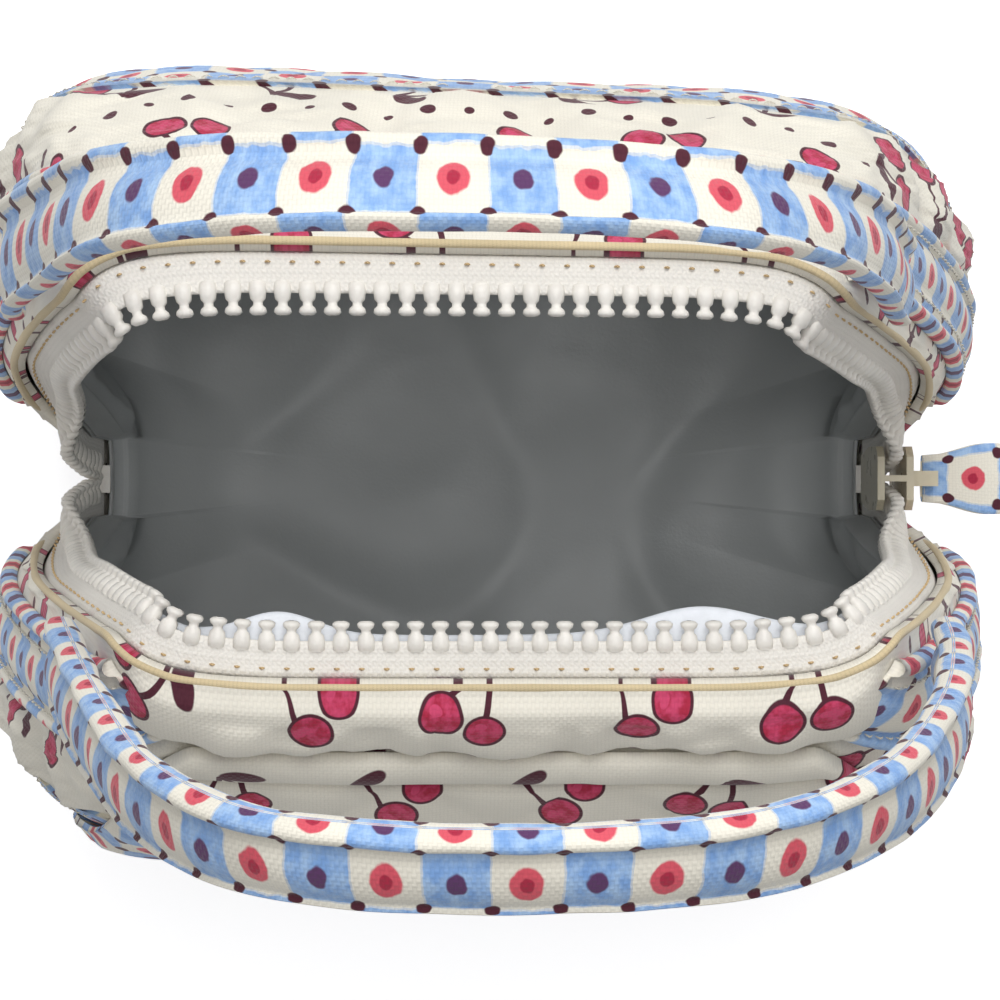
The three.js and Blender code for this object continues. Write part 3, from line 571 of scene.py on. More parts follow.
def cherry_group():
    """Cherry pairs on a half-drop lattice: round fruits, stems and a leaf, each pair turned, and dots between rows."""
    def build(g, given, give):
        vector, pitch, shift = given
        x, y, _ = g.split(vector)
        py = y / pitch + shift
        row = g.math("FLOOR", py)
        drop = abs(g.math("MODULO", row, 2.0)) * 0.5
        px = x / pitch + drop + shift
        cell = g.math("FLOOR", px)
        fx, fy = px - cell - 0.5, py - row - 0.5
        chance = g.fed(g.node("ShaderNodeTexWhiteNoise", noise_dimensions="2D"), {"Vector": g.join(cell, row)}, "Value")
        turn = (chance - 0.5) * 2.4
        cosine, sine = g.math("COSINE", turn), g.math("SINE", turn)
        rx, ry = fx * cosine - fy * sine, fx * sine + fy * cosine

        def blob(u, v, wide, tall, at=(rx, ry)):
            return g.length((at[0] - u) / wide, (at[1] - v) / tall)

        def stem(ax, ay, bx, by, thick=0.022):
            dx, dy = bx - ax, by - ay
            square = dx * dx + dy * dy
            ux, uy = rx - ax, ry - ay
            along = g.math("ADD", ux * (dx / square), uy * (dy / square), clamp=True)
            bow = g.math("SINE", along * math.pi) * 0.03
            away = g.length(ux - (along * dx + bow), uy - along * dy)
            return g.step(away, thick * 0.8, thick, 1.0, 0.0)

        fruit = g.math("MINIMUM", blob(-0.15, -0.13, 0.125, 0.125), blob(0.13, -0.17, 0.115, 0.115))
        shine = g.math("MINIMUM", blob(-0.19, -0.09, 0.045, 0.03), blob(0.1, -0.135, 0.04, 0.027))
        leaf = blob(0.08, 0.26, 0.15, 0.07, (rx * 0.94 + ry * -0.34, rx * 0.34 + ry * 0.94))
        double = px * 2.0
        border = (abs(double - g.math("ROUND", double)) * 0.5, 0.5 - abs(fy))
        dot = g.math("MINIMUM", blob(0.0, 0.0, 0.052, 0.052, border), blob(0.25, 0.0, 0.034, 0.034, border))
        give("Outline", g.step(fruit, 1.08, 1.14, 1.0, 0.0))
        give("Fruit", g.step(fruit, 0.9, 0.97, 1.0, 0.0))
        give("Shine", g.step(shine, 0.8, 1.0, 1.0, 0.0))
        give("Stem", g.math("MAXIMUM", stem(-0.13, -0.02, 0.03, 0.24), stem(0.11, -0.06, 0.03, 0.24)))
        give("Leaf", g.step(leaf, 0.88, 1.0, 1.0, 0.0))
        give("Dot", g.step(dot, 0.85, 1.0, 1.0, 0.0))
    return group("cherry lattice", ("Vector", "Pitch", "Shift"),
                 ("Outline", "Fruit", "Shine", "Stem", "Leaf", "Dot"), build)


class Finish:
    """A material in the making: its Principled shader, and a graph to feed it."""

    def __init__(self, name, roughness, sheen=0.0, specular=0.4, coat=0.0):
        self.made = bpy.data.materials.new(name)
        self.made.use_nodes = True
        self.shader = self.made.node_tree.nodes["Principled BSDF"]
        self.graph = Graph(self.made.node_tree)
        self.set("Roughness", roughness)
        self.set("Sheen Weight", sheen)
        self.set("Sheen Roughness", 0.5)
        self.set("Specular IOR Level", specular)
        self.set("Coat Weight", coat)

    def set(self, label, value):
        self.graph.put(self.shader.inputs[label], value)

    def done(self, colour, normal):
        self.set("Base Color", colour)
        self.set("Normal", normal)
        return self.made

    def woven(self, threads, strength, colour, lightness, extra_height=None):
        """Finishes with a weave bump and a cloudy lightness over the colour."""
        g = self.graph
        weave = g.grouped(weave_group(), {"Vector": g.cloth(), "Threads": threads})
        cloud = g.step(weave["Cloud"], 0.3, 0.7, 1 - lightness, 1.0)
        thread = g.step(weave["Height"], 0.0, 0.9, 1 - lightness * 0.9, 1.0)
        height = weave["Height"]
        if extra_height is not None:
            height = height + extra_height
        return self.done(g.toned(colour, cloud * thread), g.bump(height, strength, 0.0004))


def print_cotton(colours):
    """Cream cotton with pairs of cherries, leaves and small dots."""
    finish = Finish("print_cotton", 0.8, 0.2, 0.3)
    g = finish.graph
    vector = g.cloth()
    print_part = g.grouped(cherry_group(), {"Vector": vector, "Pitch": CHERRY_PITCH, "Shift": 0.2})
    berry = g.mix(g.step(g.noise(vector, 500.0, 3.0), 0.35, 0.65), colours["berry"], colours["pink"])
    colour, plum = colours["cream"], colours["plum"]
    for label, paint in (("Stem", plum), ("Leaf", plum), ("Outline", plum), ("Fruit", berry),
                         ("Shine", colours["pink"]), ("Dot", plum)):
        colour = g.mix(print_part[label], colour, paint)
    return finish.woven(COTTON_THREADS, 0.22, colour, 0.08)


def check_cotton(colours, name):
    """Checks of light blue and cream cotton: dotted blue squares, coral dots on the cream ones, plum at the corners."""
    finish = Finish(name, 0.8, 0.2, 0.3)
    g = finish.graph
    vector = g.cloth()
    x, y, _ = g.split(vector)
    wobble = (g.noise(vector, 350.0) - 0.5) * 0.0011
    px, py = ((value + wobble) / (CHECK_PITCH * 0.5) + 0.5 for value in (x, y))
    cx, cy = g.math("FLOOR", px), g.math("FLOOR", py)
    fx, fy = px - cx - 0.5, py - cy - 0.5
    odd = g.step(abs(g.math("MODULO", cx + cy, 2.0)), 0.4, 0.6)
    radius = g.length(fx, fy)

    def disc(low, high, under, over, distance=radius):
        return g.mix(g.step(distance, low, high, 1.0, 0.0), under, over)

    blue = g.mix(g.step(g.noise(vector, 420.0, 3.0), 0.3, 0.7), colours["light_blue"], colours["mid_blue"])
    blue = disc(0.13, 0.17, blue, colours["blue_ink"])
    pale = disc(0.22, 0.26, colours["cream"], colours["coral"])
    pale = disc(0.09, 0.12, pale, colours["berry"])
    colour = g.mix(odd, blue, pale)
    edge = g.math("MAXIMUM", abs(fx), abs(fy))
    colour = g.mix(g.step(edge, 0.46, 0.475) * 0.6, colour, colours["cream"])
    corner = g.length(0.5 - abs(fx), 0.5 - abs(fy))
    return finish.woven(COTTON_THREADS, 0.22, disc(0.1, 0.13, colour, colours["plum"], corner), 0.08)


def tape_cloth(colours):
    """Warm white woven tape with a fine herringbone rib."""
    finish = Finish("zip_tape", 0.8, 0.2, 0.3)
    g = finish.graph
    x, y, _ = g.split(g.cloth())
    slope = abs(g.math("FRACT", y * 420.0) - 0.5)
    rib = g.math("SINE", (x + slope * 0.0022) * 7000.0)
    return finish.woven(TAPE_THREADS, 0.25, colours["tape"], 0.05, rib * 0.3)


def groove_shade_cloth(colours):
    """Cotton of the narrow seam edge beside the tape, coloured ochre as painted shadow and warm reflection of the
    groove there.
    """
    return Finish("groove_shade_cloth", 0.85, 0.2, 0.3).woven(COTTON_THREADS, 0.25, colours["seam"], 0.15)


def lining_sheet(colours):
    """Grey coated lining: fine grain, creased, with a dull shine, and painted shade darkening the crease hollows."""
    finish = Finish("lining_sheet", 0.42, 0.0, 0.5)
    g = finish.graph
    place = g.place()
    crease = g.noise(place, 26.0, 3.0)
    finish.set("Roughness", g.step(crease, 0.2, 0.8, 0.5, 0.34))
    # Colour darker in the crease noise's hollows and lighter on its crests: painted shade.
    return finish.done(g.toned(colours["lining"], g.step(crease, 0.3, 0.75, 0.93, 1.06)),
                       g.bump(g.noise(place, 1600.0) * 0.02 + crease, 0.5, 0.004))


def plastic(name, colour, roughness, coat=0.0):
    """Moulded plastic or enamel: faint mottling and a fine orange-peel bump."""
    finish = Finish(name, roughness, 0.0, 0.5, coat)
    g = finish.graph
    place = g.place()
    mottle = g.noise(place, 300.0, 3.0)
    finish.set("Roughness", g.step(mottle, 0.2, 0.8, roughness - 0.05, roughness + 0.08))
    return finish.done(g.toned(colour, g.step(mottle, 0.3, 0.7, 0.94, 1.03)),
                       g.bump(g.noise(place, 1500.0), 0.15, 0.0005))


def thread_material(name, colour):
    """Sewing thread: a twisted rope of two strands along its own length."""
    finish = Finish(name, 0.6, 0.2, 0.35)
    g = finish.graph
    x, y, _ = g.split(g.cloth())
    twist = g.math("SINE", (x + y) * 9000.0)
    return finish.done(g.toned(colour, g.step(twist, -1.0, 1.0, 0.85, 1.0)), g.bump(twist, 0.5, 0.0002))


def foam_material():
    """Pale closed-cell foam: small cells pressed into the surface."""
    finish = Finish("foam", 0.9, 0.0, 0.3)
    g = finish.graph
    cells = g.fed(g.node("ShaderNodeTexVoronoi"), {"Vector": g.place(), "Scale": 700.0}, "Distance")
    return finish.done(g.toned(linear((232, 232, 226)), g.step(cells, 0.0, 0.6, 1.0, 0.9)),
                       g.bump(cells, 0.4, 0.0006))


def board_material():
    """Brown stiff board: pressed fibres along one way."""
    finish = Finish("board", 0.8, 0.0, 0.3)
    g = finish.graph
    x, y, z = g.split(g.place())
    fibre = g.noise(g.join(x * 0.1, y, z), 900.0, 3.0)
    return finish.done(g.toned(linear((146, 126, 98)), g.step(fibre, 0.3, 0.7, 0.85, 1.1)),
                       g.bump(fibre, 0.3, 0.0005))


MATERIALS = {}


def material(name):
    """The named material, made once from the colours in the panel."""
    if not MATERIALS:
        found = bpy.context.scene.bag_colours
        colours = {key: linear([round(v * 255) for v in getattr(found, key)]) for key in COLOURS}
        MATERIALS["print"] = print_cotton(colours)
        MATERIALS["check"] = check_cotton(colours, "check_cotton")
        MATERIALS["strap"] = check_cotton(colours, "check_strap")
        MATERIALS["tape"] = tape_cloth(colours)
        MATERIALS["seam"] = groove_shade_cloth(colours)
        MATERIALS["lining"] = lining_sheet(colours)
        # Bluish white of the facing: partly its own colour, partly painted light where the lining by the mouth is lit
        # from above.
        MATERIALS["facing"] = plastic("white_lit_facing", linear((232, 236, 242)), 0.4)
        MATERIALS["teeth"] = plastic("zip_teeth", colours["tape"], 0.38)
        MATERIALS["enamel"] = plastic("slider_enamel", colours["slider"], 0.3, 0.3)
        MATERIALS["thread"] = thread_material("thread", colours["thread"])
        MATERIALS["ochre_thread"] = thread_material("ochre_thread", linear((222, 190, 140)))
        MATERIALS["foam"] = foam_material()
        MATERIALS["board"] = board_material()
    return MATERIALS[name]


# Places on the wall

ANGLES = np.linspace(0, math.pi / 2, 361)
LEVELS = np.linspace(0, BODY_HEIGHT, 197)


def arc_table():
    """Arc length round the wall from the side's middle, for each of ANGLES at each of LEVELS."""
    angle, level = np.meshgrid(ANGLES, LEVELS, indexing="ij")
    step = np.linalg.norm(np.diff(wall(angle, level, 1.0), axis=0), axis=-1)
    return np.concatenate([np.zeros((1, len(LEVELS))), np.cumsum(step, axis=0)])


ARCS = arc_table()


def table_place(value, last, count):
    """Row and share of the way to the next row at which an even table of count rows, up to last, holds a value."""
    place = np.clip(value / last * (count - 1), 0, count - 1.001)
    row = place.astype(int)
    return row, place - row


def arc_at(angle, z):
    """Arc length from the side's middle to the given angle, at height z, read between the table's values."""
    angle, z = np.broadcast_arrays(np.asarray(angle, float), np.asarray(z, float))
    i, s = table_place(angle, ANGLES[-1], len(ANGLES))
    j, t = table_place(z, BODY_HEIGHT, len(LEVELS))
    low = ARCS[i, j] * (1 - s) + ARCS[i + 1, j] * s
    high = ARCS[i, j + 1] * (1 - s) + ARCS[i + 1, j + 1] * s
    return low * (1 - t) + high * t


def notch_angle(z):
    """The section angle where the wall meets the side opening at height z."""
    z = np.asarray(z, float)
    width = notch_half_width(np.minimum(z, BODY_HEIGHT - NOTCH_FILLET))
    return angle_of_depth(np.clip(width / half_depth(z), 0, 0.999), z)


def from_notch(z, arc):
    """The section angle that lies arc millimetres round the wall from the side opening's edge at height z."""
    z, arc = np.broadcast_arrays(np.asarray(z, float), np.asarray(arc, float))
    target = arc_at(notch_angle(z), z) + arc
    j, t = table_place(z, BODY_HEIGHT, len(LEVELS))
    found = np.empty(z.shape)
    for index in np.ndindex(z.shape):
        row = ARCS[:, j[index]] * (1 - t[index]) + ARCS[:, j[index] + 1] * t[index]
        found[index] = np.interp(target[index], row, ANGLES)
    return found


def layer(angle, z, side, half, depth):
    """A point on one half's wall, moved in along its normal by depth, or out where depth is negative, then slanted."""
    angle, z, side, depth = np.broadcast_arrays(*(np.asarray(v, float) for v in (angle, z, side, depth)))
    point = wall(angle, z, side) - wall_normal(angle, z, side) * depth[..., None]
    return slanted(point * np.array([1.0, half, 1.0]))


def ring_layer(angle, z, side, half, depth):
    """As layer, for columns of both halves at once."""
    back, front = (layer(angle, z, side, one, depth) for one in (1.0, -1.0))
    return np.where((half > 0)[..., None], back, front)


def cloth_place(angle, z, side):
    """Flat cloth coordinates in millimetres: along the section from the half's middle, and up the wall."""
    along = arc_at(np.full_like(z, math.pi / 2), z) - arc_at(angle, z)
    return side * along, profile_arc(z)


def strap_mask(angle, z):
    """1 where a side strap lies on the wall and 0 elsewhere, with soft edges."""
    arc = arc_at(angle, z) - arc_at(notch_angle(z), z)
    return smooth(0, STRAP_ARC, arc) * (1 - smooth(STRAP_ARC + STRAP_WIDTH, 30, arc)) * smooth(56, 66, z)


def pocket_across(angle):
    """1 over the middle of the front, falling to 0 at the pocket's corners."""
    return 1 - smooth(0.68, 0.84, width_share(angle))


def pocket_edge(angle):
    """Height of the pocket's upper edge, which drops towards its corners."""
    return POCKET_TOP - POCKET_CORNER_DROP * (1 - pocket_across(angle))


def pocket_mask(angle, z):
    """1 where the slip pocket lies on the front wall and 0 elsewhere, with soft edges."""
    under_edge = 1 - smooth(0, 6, z - pocket_edge(angle) + 4)
    return smooth(0.8, 0.84, depth_share(angle)) * smooth(12, POCKET_FOOT, z) * under_edge


# Pieces of the body

def put(thing, body, slot, *nodes, fill=None):
    """The piece rides on its body and stands for CAD nodes; slot is not used, and fill is not used."""
    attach(thing, body)
    if nodes:
        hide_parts(*nodes)
    return thing


def piece(name, shape, finish, body, slot, *nodes, fill=None):
    """A piece made from a shape of points, faces and flat coordinates, given its material and put in its place."""
    return put(make_mesh(name, *shape, material(finish)), body, slot, *nodes, fill=fill)


def above_boot(angle, z):
    """0 where the panel is tucked under the boot's edge, 1 a few millimetres above it."""
    return smooth(0.0, 6.0, z - band_height(angle))


def panel_puff(angle, z, side, half, settings, quilt):
    """How far the outer cloth stands off the wall: quilt puff, sags and creases, none under straps, pocket or rim."""
    u, v = cloth_place(angle, z, side)
    front = half < 0
    to_rim = rim_height(angle) - z
    free = (1 - strap_mask(angle, z)) * smooth(0, 9, to_rim + 1) * (1 - front * pocket_mask(angle, z))
    seed = 12 if front else 11
    fold = settings.fold_depth / MM
    puff = quilt * settings.quilt_puff / MM * (quilted(u, v) - 0.75)
    sag = fold * soft_noise(u, v * 0.6, 70.0, seed)
    crease = 0.25 * fold * soft_noise(u, v, 19.0, seed + 20)
    top, roll_height, groove_depth = (189.5, 4.2, 2.0) if front else (186.0, 1.6, 0.6)
    groove = groove_depth * np.exp(-((z - 181.5) / 1.8) ** 2)
    rim = (roll_height * bead(z, top, 7.0) - groove) * smooth(0.74, 0.86, depth_share(angle)) * smooth(0, 2.5, to_rim)
    above = above_boot(angle, z)
    return (puff + sag + crease) * free * above + rim + 0.5 * above - 0.2


def simulated(points, outwards, pinned):
    """How far an open grid of cloth moves in a cloth simulation, its pinned points held still, capped in length.

    The cloth is 5 percent larger than its place and is pushed outwards from within, as padding does."""
    faces = grid_faces(*pinned.shape)
    corner, below, beside = points[:-1, :-1], points[1:, :-1], points[:-1, 1:]
    facing_out = np.einsum("ijk,ijk->ij", np.cross(below - corner, beside - corner), outwards[:-1, :-1])
    if facing_out.sum() < 0:
        faces = faces[:, ::-1]
    thing = make_mesh("settling_cloth", points, faces)
    held = thing.vertex_groups.new(name="held")
    held.add(np.flatnonzero(pinned.ravel()).tolist(), 1.0, "REPLACE")
    cloth = thing.modifiers.new("Cloth", "CLOTH")
    for key, value in (
            ("quality", 5), ("mass", 0.2), ("tension_stiffness", 12), ("compression_stiffness", 12),
            ("bending_stiffness", 0.3), ("vertex_group_mass", "held"), ("shrink_min", -0.05),
            ("use_pressure", True), ("uniform_pressure_force", 3.0)):
        setattr(cloth.settings, key, value)
    cloth.settings.effector_weights.gravity = 0
    cloth.point_cache.frame_start = 1
    cloth.point_cache.frame_end = SETTLE_FRAMES
    for number in range(1, SETTLE_FRAMES + 1):
        bpy.context.scene.frame_set(number)
    shaped = thing.evaluated_get(bpy.context.evaluated_depsgraph_get()).to_mesh()
    found = np.empty(len(shaped.vertices) * 3, np.float32)
    shaped.vertices.foreach_get("co", found)
    moved = found.reshape(points.shape).astype(float) / MM - points
    bpy.context.scene.frame_set(1)
    mesh = thing.data
    bpy.data.objects.remove(thing)
    bpy.data.meshes.remove(mesh)
    length = np.linalg.norm(moved, axis=-1, keepdims=True)
    return moved * np.minimum(1.0, SETTLE_CAP / np.maximum(length, 1e-6))


def spread(values, shape):
    """A coarse grid of values read on a finer grid that covers the same place, smoothed between its points."""
    for axis, count in enumerate(shape):
        size = values.shape[axis]
        place = np.linspace(0, size - 1, count)
        low = np.minimum(place.astype(int), size - 2)
        share = (place - low).reshape([-1 if k == axis else 1 for k in range(values.ndim)])
        share = share * share * (3 - 2 * share) * 0.5 + share * 0.5
        values = np.take(values, low, axis) * (1 - share) + np.take(values, low + 1, axis) * share
    for _ in range(2):
        wide = np.pad(values, ((1, 1), (1, 1), (0, 0)), mode="edge")
        near = wide[:-2, 1:-1] + wide[2:, 1:-1] + wide[1:-1, :-2] + wide[1:-1, 2:]
        values = values * 0.5 + near * 0.125
    return values


def panel_grid(fine, rows):
    """Angles, heights and sides of a grid over one half's outer cloth, from the rim down to under the boot's edge."""
    angle, side = half_columns(fine)
    rim = rim_height(angle)
    low = np.minimum(band_height(angle) - 4, rim - 6)
    z = low[:, None] + (rim - low)[:, None] * np.linspace(1, 0, rows)[None, :]
    angle, side = by_rows(rows, angle, side)
    return angle, z, side


def panel_settling(half, angle, height, sides):
    """The simulated movement of one half's outer cloth, read on the given fine grid, never far inwards."""
    a, z, s = panel_grid(3, 48)
    reach = math.sqrt(0.5) * QUILT_PITCH / math.pi
    pinned = np.minimum(*quilt_sines(*cloth_place(a, z, s))) * reach < 1.3
    pinned |= (strap_mask(a, z) > 0.3) | (rim_height(a[:, :1]) - z < 5) | (half < 0) & (pocket_mask(a, z) > 0.3)
    pinned[:3], pinned[-3:], pinned[:, -2:] = True, True, True
    moved = simulated(layer(a, z, s, half, -0.3), wall_normal(a, z, s, half), pinned)
    moved = spread(moved, angle.shape)
    normal = wall_normal(angle, height, sides, half)
    out = np.einsum("ijk,ijk->ij", moved, normal)
    return moved - normal * np.minimum(out + SETTLE_INWARD, 0)[..., None]


def outer_panel(label, half, settings):
    a, z, s = panel_grid(7, 96)
    outer = layer(a, z, s, half, -panel_puff(a, z, s, half, settings, 0.0))
    outer = outer + panel_settling(half, a, z, s) * above_boot(a, z)[..., None]
    inner = layer(a, z, s, half, QUILT)
    for grid in (outer, inner):
        grid[a[:, 0] < 0.001, :, 1] = half * 0.15
    piece(label + "_cloth", sheet_body(outer, inner, *cloth_place(a, z, s)), "print",
          "bag", "print_cotton", label + "_outer_panel", fill=0.35)


def rings(edge, shares):
    """Rings drawn in from an edge ring towards the axis, at shares of its distance, with their heights as they are."""
    return edge[:, -1:, :] * shares[None, :, None]


def boot(settings):
    """Contrast base: outer wall from the band's edge round the foot to the floor, inner wall back up, floors closed."""
    angle, side, half = ring_columns(6)
    rows = 44
    top = band_height(angle)
    z = FOOT_RADIUS + (top - FOOT_RADIUS)[:, None] * np.linspace(1, 0, rows)[None, :]
    a, s, h = by_rows(rows, angle, side, half)
    u, v = cloth_place(a, z, s)
    below_edge = top[:, None] - z
    puff = 0.7 * settings.quilt_puff / MM * (quilted(u, v) - 0.8)
    puff = puff + 0.4 * settings.fold_depth / MM * soft_noise(u, v, 60.0, 31)
    puff = puff * smooth(4, 22, z) * smooth(1, 10, below_edge) * (1 - np.where(h < 0, pocket_mask(a, z), 0.0))
    walls = ring_layer(a, z, s, h, -puff - 0.6 * (1 - smooth(6, 14, below_edge)))
    foot_z = np.array([3.4, 2.6, 1.7, 0.9, 0.3, 0.0])
    fa, fs, fh = by_rows(len(foot_z), angle, side, half)
    foot = ring_layer(fa, foot_z, fs, fh, 0.0)
    shares = 1 - np.linspace(0, 1, 14)[:-1]
    floor = rings(foot, shares[1:])
    floor[..., 2] = 0.0
    inner = ring_layer(a, np.maximum(z, QUILT + 0.01), s, h, QUILT)
    inner_floor = rings(inner, shares)
    inner_floor[..., 2] = QUILT
    outer = np.concatenate([walls, foot, floor], 1)
    inner = np.concatenate([inner, inner_floor], 1)
    points, faces = tub_body(outer, inner, 0.0, QUILT)
    lower = outer.shape[1] - rows
    flat = np.zeros((outer.shape[0], outer.shape[1] + inner.shape[1], 2))
    flat[:, :rows, 0], flat[:, :rows, 1] = u, v
    flat[:, rows:rows + lower, 0] = u[:, -1:]
    flat[:, rows:rows + lower, 1] = -np.linspace(0, 30, lower)
    flat[:, rows + len(foot_z):rows + lower] = floor[..., :2]
    flat[:, rows + lower:] = inner[:, ::-1, [0, 2]]
    uv = np.concatenate([flat.reshape(-1, 2), np.zeros((2, 2))])
    piece("base_cloth", (points, faces, uv), "check", "bag", "trim_cotton", "base_boot", fill=0.35)


def lining_piece(settings):
    """Grey lining: a crumpled tub from the floor, round a soft corner, to just under the rim, one closed body."""
    angle, side, half = ring_columns(5)
    rows = 70
    foot = LINING_FLOOR + LINING_CORNER
    to_rim = rim_height(angle)[:, None]
    z = foot + (to_rim - 0.8 - foot) * np.linspace(1, 0, rows)[None, :]
    to_rim = to_rim - z
    a, s, h = by_rows(rows, angle, side, half)
    u, v = cloth_place(a, z, s)
    u = u + 400 * (h < 0)
    crumple = settings.crumple / MM
    bend = soft_noise(u, v, 26.0, 71) + 0.5 * soft_noise(u, v, 11.0, 72) + 1 + 2.6 * folds(u, v, 58.0, 74)
    bend = crumple * bend * smooth(0, 20, z - foot) * smooth(0, 12, to_rim - 6)
    depth = LINING_DEPTH + bend - (LINING_DEPTH - 4.3) * smooth(-6, -1, -to_rim)

    def ripple(x, y):
        return crumple * (1.1 + 1.1 * soft_noise(x, y, 48.0, 73) + 4.2 * folds(x, y, 66.0, 76))

    outer = ring_layer(a, z, s, h, depth)
    inner = ring_layer(a, np.maximum(z, foot + LINING_SHEET), s, h, depth + LINING_SHEET)
    share = 1 - np.linspace(0, 1, 40)[1:-1]
    floor_outer, floor_inner = rings(outer, share), rings(inner, share)
    lift = LINING_FLOOR + LINING_CORNER * share ** 7
    floor_outer[..., 2] = lift
    floor_inner[..., 2] = (lift + LINING_SHEET
                           + ripple(floor_inner[..., 0], floor_inner[..., 1]) * smooth(0.0, 0.2, 1 - share))
    crown = LINING_FLOOR + LINING_SHEET + float(ripple(np.zeros(1), np.zeros(1))[0])
    outer = np.concatenate([outer, floor_outer], 1)
    inner = np.concatenate([inner, floor_inner], 1)
    points, faces = tub_body(outer, inner, LINING_FLOOR, crown)
    piece("lining_cloth", (points, faces, points[:, :2]), "lining", "bag", "lining_sheet", "lining")


# The zip's tapes and the seam edges beside them

def rim_frames(half):
    """Frames along one half's rim, ten to each of the solids' columns: place, normal, into, reach, face, width."""
    angle, side = half_columns(1)
    angle, side = angle[1:-1], side[1:-1]
    rim = rim_height(angle)
    flat = np.array([1.0, half, 1.0])
    place = (wall(angle, rim, side) - wall_normal(angle, rim, side) * TAPE_DEPTH) * flat
    normal = wall_normal(angle, rim, side, half)
    shares = np.array([0.06, 0.3, 0.55, 0.8])[:, None]

    def end(i, j):
        return place[i] + (place[j] - place[i]) * shares, unit(normal[i] + (normal[j] - normal[i]) * shares)

    start, stop = end(0, 1), end(-1, -2)
    place = np.concatenate([start[0], place[1:-1], stop[0][::-1]])
    normal = np.concatenate([start[1], normal[1:-1], stop[1][::-1]])
    order = np.arange(len(place))
    last = len(place) - 1
    along = unit(place[np.minimum(order + 1, last)] - place[np.maximum(order - 1, 0)])
    into = np.cross(normal, along)
    into[(order <= 4) | (order >= last - 4)] = (0, -1, 0)
    into[(into[:, 2] < 0) & (np.abs(into[:, 1]) < 0.5)] *= -1
    into[(np.abs(into[:, 1]) >= 0.5) & (into[:, 1] * half > 0)] *= -1
    into = square_to(into, normal)
    height = place[:, 2]
    straight = (1 - smooth(SLIDER_HIGH, SLIDER_HIGH + 30, height))[:, None]
    sideways = np.stack([np.sign(place[:, 0]), 0 * height, 0 * height], -1)
    normal = unit(normal * (1 - straight) + sideways * straight)
    into = square_to(into * (1 - straight) + np.array([0, -half, 0.0]) * straight, normal)
    roll = (math.radians(45) * smooth(SLIDER_HIGH, SLIDER_HIGH + 45, height))[:, None]
    reach = into * np.cos(roll) - normal * np.sin(roll)
    face = normal * np.cos(roll) + into * np.sin(roll)
    width = 4.15 + 2.0 * smooth(NOTCH_BOTTOM + 10, NOTCH_BOTTOM + 80, height)
    return [finer(values, 10) for values in (place, normal, into, reach, face, width)]


def finer(values, fine):
    """Rows of values with fine equal steps between each pair, on a smooth curve through them."""
    values = np.asarray(values, float)
    flat = values.reshape(len(values), -1)
    padded = np.concatenate([2 * flat[:1] - flat[1:2], flat, 2 * flat[-1:] - flat[-2:-1]])
    t = np.linspace(0, 1, fine, endpoint=False)[None, :, None]
    a, b, c, d = (padded[i:len(flat) - 1 + i][:, None, :] for i in range(4))
    curve = 0.5 * (2 * b + (c - a) * t + (2 * a - 5 * b + 4 * c - d) * t * t + (3 * b - a - 3 * c + d) * t ** 3)
    curve = np.concatenate([curve.reshape(-1, flat.shape[1]), flat[-1:]])
    return curve.reshape((-1,) + values.shape[1:])


def tape(label, half):
    """Woven zip tape: a thin strip along the rim frames, tucked under the wall and rolled in towards the teeth."""
    place, normal, into, reach, face, width = rim_frames(half)
    share = np.linspace(0, 1, 9)[None, :]
    run = run_length(place)[:, None]
    across = share * width[:, None]
    out = place[:, None] + reach[:, None] * across[..., None]
    rib = 0.12 * np.sin(share * math.pi * 6) + 0.1 * soft_noise(run, share * 6, 9.0, 5)
    tuck = place - into * 1.6
    top = np.concatenate([(tuck + normal * 0.3)[:, None], out + face[:, None] * (0.4 + rib)[..., None]], 1)
    bottom = np.concatenate([(tuck - normal * 0.5)[:, None], out - face[:, None] * 0.4], 1)
    v = np.concatenate([np.full((len(run), 1), -1.6), across], 1)
    piece(label + "_tape_cloth", sheet_body(slanted(top), slanted(bottom), run, v),
          "tape", "bag", "zip_tape", label + "_zip_tape")


def rim_roll(label, half):
    """The seam edge between the tape and the outer cloth: a soft tube along the rim, flattened onto the wall, coloured
    ochre as painted shadow and warm reflection of the groove there.
    """
    place, normal, into, _, _, _ = rim_frames(half)
    run = run_length(place)
    turn = np.linspace(0, 2 * math.pi, 17)[None, :-1]
    swell = (1 + 0.08 * soft_noise(run, 0 * run, 16.0, 8 if half > 0 else 9))[:, None]
    loops = (place - into * 0.2 + normal * (TAPE_DEPTH - 0.3))[:, None]
    loops = loops + into[:, None] * (0.8 * swell * np.cos(turn))[..., None]
    loops = loops + normal[:, None] * (0.7 * swell * np.sin(turn))[..., None]
    piece(label + "_rim_roll", loop_body(slanted(loops), run[:, None], turn * 2.6),
          "seam", "bag", "print_cotton", fill=0.8)


TOOTH_AT = np.array([-2.3, -1.9, -0.6, 0.7, 1.2, 1.8, 2.3, 2.9, 3.3, 3.45])
TOOTH_WIDE = np.array([0.9, 1.45, 1.55, 1.35, 0.85, 0.85, 1.4, 1.55, 1.1, 0.45])
TOOTH_TALL = np.array([0.6, 1.1, 1.35, 1.25, 1.0, 1.0, 1.35, 1.4, 1.0, 0.4])


